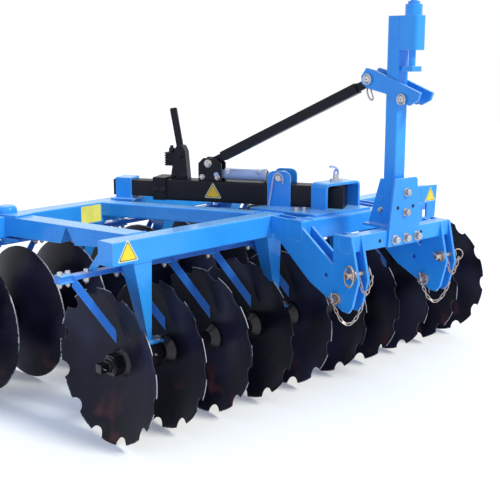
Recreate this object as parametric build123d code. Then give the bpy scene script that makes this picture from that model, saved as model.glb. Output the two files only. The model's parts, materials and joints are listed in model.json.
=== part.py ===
from build123d import *
from collections import namedtuple
from math import cos, hypot, radians, sin
import os

# Mounted offset disc harrow. Millimetres, +Z up, travel is towards -Y and the
# ground is z = 0. Sizes are laid out from the first front disc, and the origin
# moves to the bottom centre of the machine when the pieces are written.

# Discs and gangs
DISC_R = 330
DISC_T = 6
DISH = 85
FLAT_R = 66
RIM_BEVEL = 14
RIM_EDGE = 3
PITCH = 258
DISC_COUNT = 10
NOTCH_COUNT = 12
NOTCH_R = 38
NOTCH_DEPTH = 32
AXLE = 36
AXLE_PLAY = 0.3
AXLE_STUB = 122
WASHER_R = 62
WASHER_T = 14
NUT_FLATS = 84
NUT_T = 46
SPOOL_FLANGE_R = 60
SPOOL_FLANGE_T = 14
SPOOL_NECK = 46
JOURNAL_R = 34.7
BEARING_R = 35
HOUSING_R = 60
HOUSING_L = 84
HOUSING_W = 104
HUB_Z = DISC_R

# A gang: angle of its axle to the X axis, its first disc, which way the hollow
# sides look along the axle, and the beam's centre behind the axle
Gang = namedtuple("Gang", "name angle first hollow beam_y")
REAR_FIRST = (-550, 883)
REAR_BEAM_Y = -109
FRONT = Gang("front", 4.6, (0, 0), -1, 0)
REAR = Gang("rear", 7.5, REAR_FIRST, 1, REAR_BEAM_Y)

# Beams over the gangs
TUBE = 100
TUBE_CORNER = 8
DISC_CLEARANCE = 90
BEAM_BOTTOM = 2 * DISC_R + DISC_CLEARANCE
BEAM_TOP = BEAM_BOTTOM + TUBE
FRONT_BEAM_ENDS = (-69, 2150)
REAR_BEAM_ENDS = (-110, 2420)

# Hangers, between the disc numbers in the list and the next
HANGER_BAYS = (0, 3, 5, 7)
HANGER_TOP_L = 92
HANGER_TOP_W = 92
HANGER_FOOT_L = 18
HANGER_FOOT_W = 46
FOOT_PLATE = (104, 96, 12)
FOOT_TOP = HUB_Z + HOUSING_R + FOOT_PLATE[2]

# Scrapers and their rail
RAIL = 40
RAIL_H = 20
RAIL_DROP = 50
RAIL_Z = BEAM_BOTTOM - RAIL_DROP
RAIL_GAP = 45
RAIL_OVERHANG = 226
BRACKET_T = 10
SCRAPER_T = 8
SCRAPER_H = 56
SCRAPER_REACH = 110
SCRAPER_OUT = 85
SCRAPER_LOW = 120
SCRAPER_CLEAR = 16.5
RAIL_BRACKET_OFF = 62

# Side arm from the front beam to the pivot on the rear beam
ARM_W = 100
ARM_TURN = 15.4
ARM_START = (118, 100)
ARM_SPLIT = 322
ARM_END = 655
ARM_FRONT_H = 52
ARM_REAR_H = 82
ARM_SLANT = 44
STRAP_T = 8
PIVOT_R = 20
PIVOT_CAP_R = 48
PIVOT_CAP_H = 34
FORK_T = 10

# Tie tube between the beams: its ends on the ground plan, width and height
TIE_FROM = (905, 40)
TIE_TO = (425, 960)
TIE = (80, 70)

# Hitch frame. Pin places are (y, height), with heights set from the beams' top
HITCH_X = 1161
PLATE_T = 12
PLATE_GAP = 48
BRACKET_SPREAD = 586
MEMBER_W = 90
MEMBER_FRONT = -190
MEMBER_ENDS = (832, 1660)
CROSS = 71
CROSS_FRONT = -495
CROSS_TOP = BEAM_TOP - 24
LOWER_PIN = (-415, BEAM_TOP - 307)
UPPER_PIN = (-507, BEAM_TOP - 185)
SPARE_HOLE = (-346, BEAM_TOP - 214)
HOOK_Y = -390
HOOK_THROAT = 162
LOWER_PIN_R = 14
UPPER_PIN_R = 12.5
SPARE_HOLE_R = 12.5
PIN_PLAY = 0.3
PIN_OUT = 34
PIN_HEAD_R = 22
PIN_HEAD_T = 8

# Mast, foot plates, top link plates and the stowed screw jack
MAST = 68
MAST_FRONT = -466
MAST_RISE = 890
MAST_TOP = BEAM_TOP + MAST_RISE
BASE_T = 10
BASE_W = 144
BASE_REAR = -318
FOOT_PLATE_T = 10
FOOT_PLATE_TOP = BEAM_TOP + 201
FOOT_PLATE_TOP_W = 145
FOOT_PLATE_BASE_W = 214
GUSSET_TOP = BEAM_TOP + 188
LINK_PLATE_T = 12
BRACE_PIN_UP = 621
TOP_LINK_UP = 541
BRACE_PIN = (-305, BEAM_TOP + BRACE_PIN_UP)
TOP_LINK_PIN = (-505, BEAM_TOP + TOP_LINK_UP)
LINK_PIN_R = 12.5
CASING_H = 143
CASING_D = 91
CASING_R = 18
SCREW_R = 15
BARREL_R = 36
BARREL_H = 46
SCREW_TOP = MAST_TOP + 122
CRANK_R = 9
CRANK_REACH = 120
CRANK_GRIP = 95
JACK_FOOT = (58, 58, 22)
JACK_FOOT_Z = MAST_TOP - 232

# Deck, saddles and the telescopic beam with its cylinder and brace
DECK_T = 10
DECK_Z = BEAM_TOP + DECK_T
DECK_X = (955, 1320)
DECK_Y = (-150, 215)
DECK_EAR = 83
DECK_EAR_START = 45
SADDLE_W = 230
SADDLE_D = 100
SADDLE_T = 12
SADDLE_H = 125
SADDLE_AT = (1190, -44)
SLIDE = 104
SLIDE_GAP = 1
INNER = 80
SLIDE_TO = (590, 905)
SLIDE_FRONT = -46
SLIDE_REAR = 923
INNER_REAR = 1150
REAR_SADDLE_AT = 1090
INNER_LAP = 300
COLLAR_L = 68
COLLAR_T = 10
LUG = (115, 170)
LUG_T = 12
LUG_GAP = 2
LUG_AT = 265
LUG_HOLE_Z = BEAM_TOP + 148
CYL_R = 28
CYL_START = 345
CYL_END = 556
CYL_EYE_AT = 592
ROD_R = 14
BASE_PIN_R = 11
CYL_PIN_R = 14
BRACE_AT = 628
BRACE_FOOT_Z = BEAM_TOP + 200
BRACE_LUG = (120, 112)
BRACE_W = 50
BRACE_H = 46
LEVER_AT = 795
LEVER_FOOT = 92
LEVER_BODY_W = 52
VALVE_LOW = 66
FIN_T = 6
FIN_COUNT = 6
LEVER_L = 258


def gang_frame(gang):
    return Location((*gang.first, 0), (0, 0, gang.angle))


def block(low, high):
    """A box from its lowest to its highest corner."""
    size = [b - a for a, b in zip(low, high)]
    middle = [(a + b) / 2 for a, b in zip(low, high)]
    return Pos(*middle) * Box(*size)


def tube_bar(length, width, height, corner=TUBE_CORNER):
    """A capped rectangular tube along X, from x = 0, with its top at z = 0."""
    section = Plane.YZ * RectangleRounded(width, height, corner)
    return Pos(0, 0, -height / 2) * extrude(section, length)


def side_plate(points, x, thickness):
    """A plate across X from its (y, z) corners, starting at x."""
    outline = Plane.YZ * make_face(Polyline(*points, close=True))
    return Pos(x, 0, 0) * extrude(outline, thickness)


def front_plate(points, y, thickness):
    """A plate across Y from its (x, z) corners, from y towards the rear."""
    outline = Plane.XZ * make_face(Polyline(*points, close=True))
    return Pos(0, y, 0) * extrude(outline, -thickness)


def x_rod(radius, x_from, x_to, y, z):
    rod = Rot(0, 90, 0) * Cylinder(radius, x_to - x_from)
    return Pos((x_from + x_to) / 2, y, z) * rod


def z_rod(radius, x, y, z_from, z_to):
    return Pos(x, y, (z_from + z_to) / 2) * Cylinder(radius, z_to - z_from)


# Discs, spools, axles

def dish_depth(radius):
    return DISH * (radius**2 - FLAT_R**2) / (DISC_R**2 - FLAT_R**2)


def disc(notched, phase):
    """A dished disc about the X axis, hollow side towards -X, its notches from a part of their step on."""
    half = DISC_T / 2
    middle = (FLAT_R + DISC_R) / 2
    bevel = DISC_R - RIM_BEVEL
    rim = (half - DISH, DISC_R)
    back = (half - DISH - RIM_EDGE, DISC_R)
    inner = (-half - dish_depth(bevel), bevel)
    edges = [
        Line((half, 0), (half, FLAT_R)),
        ThreePointArc((half, FLAT_R), (half - dish_depth(middle), middle), rim),
        Line(rim, back),
        Line(back, inner),
        ThreePointArc(inner, (-half - dish_depth(middle), middle), (-half, FLAT_R)),
        Line((-half, FLAT_R), (-half, 0)),
        Line((-half, 0), (half, 0)),
    ]
    shape = revolve(Plane.XZ * make_face(Curve() + edges), Axis.X, 360)
    shape -= Box(4 * DISC_T, AXLE + 2 * AXLE_PLAY, AXLE + 2 * AXLE_PLAY)
    if notched:
        cutter = Pos(-DISH, 0, DISC_R - NOTCH_DEPTH + NOTCH_R) * (
            Rot(0, 90, 0) * Cylinder(NOTCH_R, 2 * DISH)
        )
        step = 360 / NOTCH_COUNT
        shape -= [Rot((number + phase) * step, 0, 0) * cutter for number in range(NOTCH_COUNT)]
    return shape


def disc_place(gang, number):
    """Each disc sits a quarter turn round from the last one, on the square axle."""
    flip = 0 if gang.hollow < 0 else 180
    return Pos(number * PITCH, 0, HUB_Z) * Rot(number * 90, 0, flip)


def gang_discs(gang, notched):
    """The notches of each disc stand half a step round from its neighbour's."""
    shapes = [disc(notched, phase) for phase in (0.5, 0)]
    return [disc_place(gang, number) * shapes[number % 2] for number in range(DISC_COUNT)]


def gang_axle(gang):
    """Square axle with a dished washer and a nut at each end, turning in one with the discs."""
    last = (DISC_COUNT - 1) * PITCH
    half = DISC_T / 2
    low = (-AXLE_STUB, -AXLE / 2, HUB_Z - AXLE / 2)
    shape = block(low, (last + AXLE_STUB, AXLE / 2, HUB_Z + AXLE / 2))
    for end, way in ((0, -1), (last, 1)):
        seat = end + way * half
        cone = Rot(0, 90 * way, 0) * Cone(WASHER_R, 0.8 * WASHER_R, WASHER_T)
        washer = Pos(seat + way * WASHER_T / 2, 0, HUB_Z) * cone
        nut_middle = seat + way * (WASHER_T + NUT_T / 2)
        nut = Plane.YZ * RegularPolygon(NUT_FLATS / 2, 6, major_radius=False)
        shape += washer + Pos(nut_middle - NUT_T / 2, 0, HUB_Z) * extrude(nut, NUT_T)
    return shape


def spool():
    """A spacer spool along X between two discs, with a round journal in the middle."""
    length = PITCH - DISC_T
    bore = AXLE * 0.75
    flange = SPOOL_FLANGE_R
    half_profile = [(0, bore), (0, flange), (SPOOL_FLANGE_T, flange), (SPOOL_NECK, JOURNAL_R)]
    other_half = [(length - x, r) for x, r in reversed(half_profile)]
    face = Plane.XZ * make_face(Polyline(*half_profile, *other_half, close=True))
    return revolve(face, Axis.X, 360)


def gang_spools(gang):
    shape = spool()
    return [Pos(bay * PITCH + DISC_T / 2, 0, HUB_Z) * shape for bay in range(DISC_COUNT - 1)]


# Hangers, bearings, scrapers

def bay_middle(bay):
    return (bay + 0.5) * PITCH


def bearing_housing():
    """A pillow block about the X axis, with its flat seat on top."""
    barrel = Rot(0, 90, 0) * Cylinder(HOUSING_R, HOUSING_L)
    low = (-HOUSING_L / 2, -HOUSING_W / 2, HOUSING_R * 0.45)
    seat = block(low, (HOUSING_L / 2, HOUSING_W / 2, HOUSING_R))
    cap = Rot(0, 90, 0) * Cylinder(HOUSING_R * 0.78, 10)
    caps = [Pos(way * HOUSING_L / 2, 0, 0) * cap for way in (-1, 1)]
    return barrel + seat + caps - Rot(0, 90, 0) * Cylinder(BEARING_R, 2 * HOUSING_L)


def gang_bearings():
    shape = bearing_housing()
    return [Pos(bay_middle(bay), 0, HUB_Z) * shape for bay in HANGER_BAYS]


def gang_hangers(gang):
    """Tapered box hangers: upright on the side away from the hollow discs, slanting on the other."""
    shapes = []
    for bay in HANGER_BAYS:
        middle = bay_middle(bay)
        top_middle = middle + gang.hollow * HANGER_TOP_L / 2
        top = Pos(top_middle, gang.beam_y, BEAM_BOTTOM) * Rectangle(HANGER_TOP_L, HANGER_TOP_W)
        foot = Pos(middle, 0, FOOT_TOP) * Rectangle(HANGER_FOOT_L, HANGER_FOOT_W)
        pad = Pos(middle, 0, FOOT_TOP - FOOT_PLATE[2] / 2) * Box(*FOOT_PLATE)
        shapes.append(loft([foot, top]) + pad)
    return shapes


def rail_span(gang):
    """Rail from its overhang on the hollow side to the last scraper."""
    last = (DISC_COUNT - 1) * PITCH
    return (-RAIL_OVERHANG, last) if gang.hollow < 0 else (0, last + RAIL_OVERHANG)


def rail_low_y(gang):
    return gang.beam_y + TUBE / 2 + (RAIL_GAP if gang.hollow < 0 else RAIL_GAP / 2)


def scraper_rail(gang):
    start, end = rail_span(gang)
    low_y = rail_low_y(gang)
    top = RAIL_Z + RAIL_H / 2
    return block((start, low_y, top - RAIL_H), (end, low_y + RAIL, top))


def rail_brackets(gang):
    """A plate beside each hanger, from the beam's rear face down to the rail."""
    face = gang.beam_y + TUBE / 2
    top = RAIL_Z + RAIL_H / 2
    low_y = rail_low_y(gang)
    outline = [
        (face, BEAM_TOP - 30), (face, BEAM_BOTTOM + 5), (low_y, top),
        (low_y + RAIL, top), (face + 12, BEAM_TOP - 30),
    ]
    starts = [bay_middle(bay) - gang.hollow * RAIL_BRACKET_OFF for bay in HANGER_BAYS]
    return [side_plate(outline, start, BRACKET_T) for start in starts]


def scraper_end():
    """How far the lower end stays from the disc's plane, clear of the dish at its height."""
    radius = SCRAPER_LOW + SCRAPER_H / 2
    return DISC_T / 2 + dish_depth(radius) + SCRAPER_CLEAR


def scrapers(gang):
    """One upright flat bar per disc, from the rail down to the hollow side near the hub."""
    low_y = rail_low_y(gang)
    front = gang.hollow < 0
    seat = low_y if front else low_y + RAIL
    run = SCRAPER_REACH if front else SCRAPER_REACH * 0.5
    way = -1 if front else 1
    start_off = DISH + SCRAPER_OUT
    reach = start_off - scraper_end()
    length = hypot(reach, run)
    fall = HUB_Z + SCRAPER_LOW - RAIL_Z
    half = SCRAPER_H / 2
    corners = [(0, half), (length, fall + half), (length, fall - half), (0, -half)]
    bar = extrude(Plane.XZ * make_face(Polyline(*corners, close=True)), SCRAPER_T / 2, both=True)
    turn = Vector(-gang.hollow * reach, way * run, 0)
    angle = Vector(1, 0, 0).get_signed_angle(turn, Vector(0, 0, 1))
    wide = DISC_COUNT * PITCH + 4 * DISC_R
    depth = (seat, seat + wide) if front else (seat - wide, seat)
    keep_out = block((-wide, depth[0], 0), (wide, depth[1], BEAM_TOP))
    shapes = []
    for number in range(DISC_COUNT):
        start_x = number * PITCH + gang.hollow * start_off
        shape = Pos(start_x, seat - way * 6, RAIL_Z) * Rot(0, 0, angle) * bar
        shapes.append(shape - keep_out)
    return shapes


# Beams and the side arm

def gang_beam(gang, ends):
    bar = tube_bar(ends[1] - ends[0], TUBE, TUBE)
    return Pos(ends[0], gang.beam_y, BEAM_TOP) * bar


def arm_frame():
    """Along the arm is +X, from the front beam to the rear one."""
    return Location((*ARM_START, 0), (0, 0, 90 + ARM_TURN))


def behind_front_beam():
    """All the space from the front beam's rear face forward."""
    far = 4000
    return gang_frame(FRONT) * block((-far, -far, 0), (far, TUBE / 2, far))


def behind_rear_face():
    """All the space from the rear beam's front face rearward."""
    far = 4000
    return gang_frame(REAR) * block((-far, REAR.beam_y - TUBE / 2, 0), (far, far, far))


def side_arm():
    """Tapered front arm and rear stub with a V gap between them, under one strap."""
    under = BEAM_TOP - STRAP_T
    lap = 90
    low = BEAM_TOP - ARM_REAR_H
    end = ARM_END + lap
    front = [(-lap, under), (ARM_SPLIT, under), (ARM_SPLIT - ARM_SLANT, low), (-lap, BEAM_TOP - ARM_FRONT_H)]
    rear = [(ARM_SPLIT + 8, under), (end, under), (end, low - 6), (ARM_SPLIT + ARM_SLANT, low)]
    bodies = [Plane.XZ * make_face(Polyline(*points, close=True)) for points in (front, rear)]
    strap = block((-lap, -ARM_W / 2, under), (ARM_END + lap, ARM_W / 2, BEAM_TOP))
    arm = strap + [extrude(body, ARM_W / 2, both=True) for body in bodies]
    return arm_frame() * arm - behind_front_beam() - behind_rear_face()


def pivot_place():
    """The pivot stands on the rear beam's centre line, where the arm's line meets it."""
    rear = radians(REAR.angle)
    arm = radians(ARM_TURN)
    base = Vector(REAR.first[0] - REAR.beam_y * sin(rear), REAR.first[1] + REAR.beam_y * cos(rear))
    gap = Vector(base.X - ARM_START[0], base.Y - ARM_START[1])
    reach = (gap.Y * cos(rear) - gap.X * sin(rear)) / cos(rear - arm)
    return ARM_START[0] - reach * sin(arm), ARM_START[1] + reach * cos(arm)


def arm_fork():
    """Fork plates above and below the rear beam, joined to the arm's stub."""
    x, y = pivot_place()
    place = Location((x, y, 0), (0, 0, 90 + ARM_TURN))
    plates = []
    for low in (BEAM_TOP, BEAM_BOTTOM - FORK_T):
        plate = block((-118, -ARM_W / 2, low), (0, ARM_W / 2, low + FORK_T))
        plate += z_rod(ARM_W / 2, 0, 0, low, low + FORK_T)
        plates.append(place * (plate - z_rod(PIVOT_R + PIN_PLAY, 0, 0, 0, 2 * BEAM_TOP)))
    return plates


def pivot_pin():
    x, y = pivot_place()
    top = BEAM_TOP + FORK_T
    bottom = BEAM_BOTTOM - FORK_T
    pin = z_rod(PIVOT_R, x, y, bottom - 26, top)
    cap = z_rod(PIVOT_CAP_R, x, y, top, top + PIVOT_CAP_H)
    cap = fillet(cap.edges().filter_by(GeomType.CIRCLE).sort_by(Axis.Z)[-1], PIVOT_CAP_H * 0.7)
    nut = z_rod(PIVOT_R * 1.6, x, y, bottom - 20, bottom)
    return pin + cap + nut


def tie_tube():
    """Tube that ties the front and rear beams below the telescopic beam."""
    start, end = Vector(*TIE_FROM), Vector(*TIE_TO)
    run = end - start
    turn = Vector(1, 0, 0).get_signed_angle(run, Vector(0, 0, 1))
    bar = Location((start.X, start.Y, BEAM_TOP), (0, 0, turn)) * tube_bar(run.length, *TIE)
    return bar - behind_front_beam() - behind_rear_face()


# Hitch

def bracket_edges():
    """Plate starts of both brackets, left to right."""
    lefts = []
    for side in (-1, 1):
        middle = HITCH_X + side * BRACKET_SPREAD / 2
        lefts.append((middle - PLATE_GAP / 2 - PLATE_T, middle + PLATE_GAP / 2))
    return lefts


def hitch_plate(x):
    """Hook-shaped plate: sloping arm from the beam, upright front with the pin holes."""
    low = BEAM_BOTTOM + 20
    pin_y, pin_z = LOWER_PIN
    upper_y, upper_z = UPPER_PIN
    corners = [
        (TUBE, BEAM_TOP), (-150, BEAM_TOP), (HOOK_Y, BEAM_TOP - HOOK_THROAT), (HOOK_Y, CROSS_TOP),
        (CROSS_FRONT, CROSS_TOP), (upper_y - 33, upper_z - 25), (pin_y - 93, pin_z - 23),
        (pin_y - 71, pin_z - 51), (pin_y - 37, pin_z - 49), (pin_y + 52, pin_z - 7),
        (pin_y + 170, pin_z + 45), (-52, low - 37), (0, low), (TUBE, low),
    ]
    plate = side_plate(corners, x, PLATE_T)
    reach = (x - PLATE_T, x + 2 * PLATE_T)
    holes = [
        (LOWER_PIN, LOWER_PIN_R + PIN_PLAY), (UPPER_PIN, UPPER_PIN_R + PIN_PLAY),
        (SPARE_HOLE, SPARE_HOLE_R),
    ]
    for (y, z), radius in holes:
        plate -= x_rod(radius, *reach, y, z)
    far = 4000
    plate -= gang_frame(FRONT) * block((-far, -TUBE / 2, 0), (far, far, far))
    return plate - cross_beam() - member()


def member():
    """Rear member of the hitch frame."""
    bar = tube_bar(MEMBER_ENDS[1] - MEMBER_ENDS[0], MEMBER_W, MEMBER_W)
    return Pos(MEMBER_ENDS[0], MEMBER_FRONT + MEMBER_W / 2, BEAM_TOP) * bar


def cross_beam():
    outer = BRACKET_SPREAD / 2 + PLATE_GAP / 2 + PLATE_T
    bar = tube_bar(2 * outer, CROSS, CROSS)
    return Pos(HITCH_X - outer, CROSS_FRONT + CROSS / 2, CROSS_TOP) * bar


def bracket_pin(middle, place, radius):
    """A headed pin through both plates of a bracket."""
    half = PLATE_GAP / 2 + PLATE_T
    shank = x_rod(radius, middle - half - PIN_OUT, middle + half + PIN_HEAD_T, *place)
    return shank + x_rod(PIN_HEAD_R, middle + half, middle + half + PIN_HEAD_T, *place)


def hitch_pins():
    pins = []
    for side in (-1, 1):
        middle = HITCH_X + side * BRACKET_SPREAD / 2
        pins.append(bracket_pin(middle, LOWER_PIN, LOWER_PIN_R))
        pins.append(bracket_pin(middle, UPPER_PIN, UPPER_PIN_R))
    return pins


# Mast

def mast():
    foot = CROSS_TOP + BASE_T
    tube = block((HITCH_X - MAST / 2, MAST_FRONT, foot), (HITCH_X + MAST / 2, MAST_FRONT + MAST, MAST_TOP))
    return fillet(tube.edges().filter_by(Axis.Z), TUBE_CORNER)


def mast_base():
    """Base plate on the cross beam, with two gussets behind the mast."""
    foot = CROSS_TOP + BASE_T
    plate = block((HITCH_X - BASE_W / 2, CROSS_FRONT, CROSS_TOP), (HITCH_X + BASE_W / 2, BASE_REAR, foot))
    back = MAST_FRONT + MAST
    outline = [(back, foot), (BASE_REAR + 6, foot), (back + 22, GUSSET_TOP), (back, GUSSET_TOP)]
    for x in (HITCH_X - MAST / 2 + TUBE_CORNER, HITCH_X + MAST / 2 - TUBE_CORNER - BASE_T):
        plate += side_plate(outline, x, BASE_T)
    return plate


def mast_foot_plate():
    """Trapezoid plate on the cross beam's front face, with a spacer to the mast."""
    top, base = FOOT_PLATE_TOP_W / 2, FOOT_PLATE_BASE_W / 2
    low = CROSS_TOP - CROSS
    points = [
        (HITCH_X - base, low), (HITCH_X + base, low), (HITCH_X + base - 6, CROSS_TOP),
        (HITCH_X + top, FOOT_PLATE_TOP), (HITCH_X - top, FOOT_PLATE_TOP),
        (HITCH_X - base + 6, CROSS_TOP),
    ]
    plate = front_plate(points, CROSS_FRONT - FOOT_PLATE_T, FOOT_PLATE_T)
    plate = fillet(plate.edges().filter_by(Axis.Y).sort_by(Axis.Z)[-2:], 16)
    spacer = block(
        (HITCH_X - MAST / 2, CROSS_FRONT, CROSS_TOP + BASE_T),
        (HITCH_X + MAST / 2, MAST_FRONT, FOOT_PLATE_TOP - 20),
    )
    return plate + spacer


def link_plates():
    """Two sloping plates on the mast's sides: brace behind, top link in front."""
    round_brace = [(5, -39), (39, -19), (43, 13), (14, 49), (-34, 40)]
    round_link = [(-96, 30), (-83, -3), (-36, -25), (99, 21)]
    outline = [(BRACE_PIN[0] + y, BRACE_PIN[1] + z) for y, z in round_brace]
    outline += [(TOP_LINK_PIN[0] + y, TOP_LINK_PIN[1] + z) for y, z in round_link]
    plates = []
    for x in (HITCH_X - MAST / 2 - LINK_PLATE_T, HITCH_X + MAST / 2):
        plate = side_plate(outline, x, LINK_PLATE_T)
        for y, z in (BRACE_PIN, TOP_LINK_PIN):
            plate -= x_rod(LINK_PIN_R + PIN_PLAY, x - LINK_PLATE_T, x + 2 * LINK_PLATE_T, y, z)
        plates.append(plate)
    return plates


def link_pins():
    half = MAST / 2 + LINK_PLATE_T
    pins = []
    for place in (BRACE_PIN, TOP_LINK_PIN):
        shank = x_rod(LINK_PIN_R, HITCH_X - half - PIN_HEAD_T, HITCH_X + half + PIN_OUT * 0.6, *place)
        pins.append(shank + x_rod(PIN_HEAD_R, HITCH_X - half - PIN_HEAD_T, HITCH_X - half, *place))
    return pins


def jack_y():
    return MAST_FRONT - CASING_D / 2


def jack_casing():
    """Rounded guide casing of the stowed screw jack, on the mast's front face."""
    low = (HITCH_X - MAST / 2, MAST_FRONT - CASING_D, MAST_TOP - CASING_H)
    case = block(low, (HITCH_X + MAST / 2, MAST_FRONT, MAST_TOP))
    corners = case.edges().filter_by(Axis.Z).sort_by(Axis.Y)[:2]
    case = fillet(corners, CASING_R)
    case += z_rod(BARREL_R, HITCH_X, jack_y(), MAST_TOP, MAST_TOP + BARREL_H)
    return case - z_rod(SCREW_R + PIN_PLAY, HITCH_X, jack_y(), 0, 2 * MAST_TOP)


def jack_screw():
    """Screw through the casing, with its foot below and a crank on top."""
    y = jack_y()
    screw = z_rod(SCREW_R, HITCH_X, y, JACK_FOOT_Z, SCREW_TOP)
    foot = Pos(HITCH_X, y, JACK_FOOT_Z + JACK_FOOT[2] / 2) * Box(*JACK_FOOT)
    collar = z_rod(SCREW_R * 1.7, HITCH_X, y, MAST_TOP + BARREL_H + PIN_PLAY, MAST_TOP + BARREL_H + 12)
    arm_z = SCREW_TOP - CRANK_R * 1.6
    arm = x_rod(CRANK_R, HITCH_X, HITCH_X + CRANK_REACH, y, arm_z)
    grip = z_rod(CRANK_R * 1.3, HITCH_X + CRANK_REACH, y, arm_z - CRANK_R, arm_z + CRANK_GRIP)
    return screw + foot + collar + arm + grip


def sign_plate():
    """Upright plate with a window at the far end of the rear member."""
    end = MEMBER_ENDS[1]
    left, right = end - 40, end + 157
    top, low = BEAM_TOP + 78, BEAM_TOP - 102
    middle = MEMBER_FRONT + MEMBER_W / 2
    points = [
        (left, BEAM_TOP), (left, top), (right, top - 6), (right - 12, low),
        (end, low), (end, BEAM_TOP),
    ]
    plate = front_plate(points, middle - BASE_T / 2, BASE_T)
    low_corner = (end + 20, middle - MEMBER_W, BEAM_TOP - 86)
    return plate - block(low_corner, (end + 81, middle + MEMBER_W, BEAM_TOP - 16))


# Telescopic beam, saddles, cylinder and brace

def slide_turn():
    run = Vector(SLIDE_TO[0] - SADDLE_AT[0], SLIDE_TO[1] - SADDLE_AT[1])
    return Vector(1, 0, 0).get_signed_angle(run, Vector(0, 0, 1))


def slide_frame():
    """+X runs rearward along the telescopic beam from the saddle's pin, on the deck."""
    return Location((*SADDLE_AT, DECK_Z), (0, 0, slide_turn()))


def deck():
    """Plate over the front beam and the hitch frame's rear member."""
    (left, right), (front, rear) = DECK_X, DECK_Y
    corners = [
        (left - DECK_EAR, rear), (left, front + DECK_EAR_START), (left, front),
        (right, front), (right, rear),
    ]
    plate = Pos(0, 0, BEAM_TOP) * extrude(make_face(Polyline(*corners, close=True)), DECK_T)
    return plate - z_rod(PIVOT_R * 0.75 + PIN_PLAY, *SADDLE_AT, 0, 2 * BEAM_TOP)


def front_saddle():
    """Inverted U over the front end of the telescopic beam."""
    x, y = SADDLE_AT
    low = (x - SADDLE_W / 2, y - SADDLE_D / 2, DECK_Z)
    outer = block(low, (x + SADDLE_W / 2, y + SADDLE_D / 2, DECK_Z + SADDLE_H))
    outer = fillet(outer.edges().filter_by(Axis.Y).sort_by(Axis.Z)[-2:], 26)
    inner = block(
        (low[0] + SADDLE_T, low[1] - SADDLE_D, 0),
        (x + SADDLE_W / 2 - SADDLE_T, y + SADDLE_D, DECK_Z + SADDLE_H - SADDLE_T),
    )
    inner = fillet(inner.edges().filter_by(Axis.Y).sort_by(Axis.Z)[-2:], 26 - SADDLE_T)
    return outer - inner - z_rod(PIVOT_R * 0.75 + PIN_PLAY, x, y, 0, 2 * BEAM_TOP)


def saddle_pin():
    top = DECK_Z + SADDLE_H
    pin = z_rod(PIVOT_R * 0.75, *SADDLE_AT, BEAM_TOP - 20, top + 34)
    return pin + z_rod(PIVOT_R * 1.5, *SADDLE_AT, top, top + 12)


def outer_slide():
    """Square outer tube, open at the rear for the inner one."""
    tube = Pos(SLIDE_FRONT, 0, SLIDE) * tube_bar(SLIDE_REAR - SLIDE_FRONT, SLIDE, SLIDE)
    bore = INNER + 2 * SLIDE_GAP
    reach = INNER_LAP + SLIDE_GAP
    middle = SLIDE_REAR - reach / 2
    tube -= Pos(middle, 0, SLIDE / 2) * Box(reach, bore, bore)
    tube -= z_rod(PIVOT_R * 0.75 + PIN_PLAY, 0, 0, -SLIDE, 2 * SLIDE)
    return slide_frame() * tube


def inner_slide():
    tube = tube_bar(INNER_REAR - SLIDE_REAR + INNER_LAP, INNER, INNER, 5)
    return slide_frame() * Pos(SLIDE_REAR - INNER_LAP, 0, (SLIDE + INNER) / 2) * tube


def slide_collar():
    """Clamp collar at the outer tube's rear end."""
    size = SLIDE + 2 * COLLAR_T
    ring = Box(COLLAR_L, size, SLIDE + COLLAR_T) - Pos(0, 0, -COLLAR_T / 2) * Box(2 * COLLAR_L, SLIDE, SLIDE)
    return slide_frame() * Pos(SLIDE_REAR - COLLAR_L / 2, 0, (SLIDE + COLLAR_T) / 2) * ring


def rear_saddle():
    """Strap over the inner tube, standing on the rear beam."""
    seat = (SLIDE - INNER) / 2
    width = INNER + 2 * SADDLE_T
    place = slide_frame() * Pos(REAR_SADDLE_AT, 0, 0)
    strap = block((-42, -width / 2, 0), (42, width / 2, SLIDE + SADDLE_T - seat))
    strap -= block((-84, -INNER / 2, seat), (84, INNER / 2, seat + INNER))
    foot = block((-60, -width / 2 - 24, -DECK_T), (60, width / 2 + 24, 0))
    return place * (strap + foot)


def slide_point(along):
    turn = radians(slide_turn())
    return Vector(SADDLE_AT[0] + along * cos(turn), SADDLE_AT[1] + along * sin(turn))


def slide_cross_rod(radius, length, along, z):
    """A rod across the telescopic beam at a height above the ground."""
    rod = Rot(90, 0, 0) * Cylinder(radius, length)
    return slide_frame() * Pos(along, 0, z - DECK_Z) * rod


def lug_face():
    return SLIDE / 2 + LUG_GAP


def cylinder_lugs():
    """Upright lugs on the deck, one on each side of the telescopic beam."""
    length, height = LUG
    hole = slide_cross_rod(CYL_PIN_R + PIN_PLAY, 4 * SLIDE, LUG_AT, LUG_HOLE_Z)
    lugs = []
    for side in (-1, 1):
        lug = Pos(LUG_AT, side * (lug_face() + LUG_T / 2), height / 2) * Box(length, LUG_T, height)
        lug = fillet(lug.edges().filter_by(Axis.Y).sort_by(Axis.Z)[-2:], 32)
        lugs.append(slide_frame() * lug - hole)
    return lugs


def lug_pin():
    return slide_cross_rod(CYL_PIN_R, 2 * (lug_face() + LUG_T + 16), LUG_AT, LUG_HOLE_Z)


def cylinder_rod():
    """Rod from the barrel to its eye on the lugs' pin."""
    z = LUG_HOLE_Z - DECK_Z
    rod = slide_frame() * Pos(0, 0, z) * x_rod(ROD_R, LUG_AT, CYL_START, 0, 0)
    eye = slide_cross_rod(25, 44, LUG_AT, LUG_HOLE_Z)
    return rod + eye - slide_cross_rod(CYL_PIN_R + PIN_PLAY, 4 * SLIDE, LUG_AT, LUG_HOLE_Z)


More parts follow.
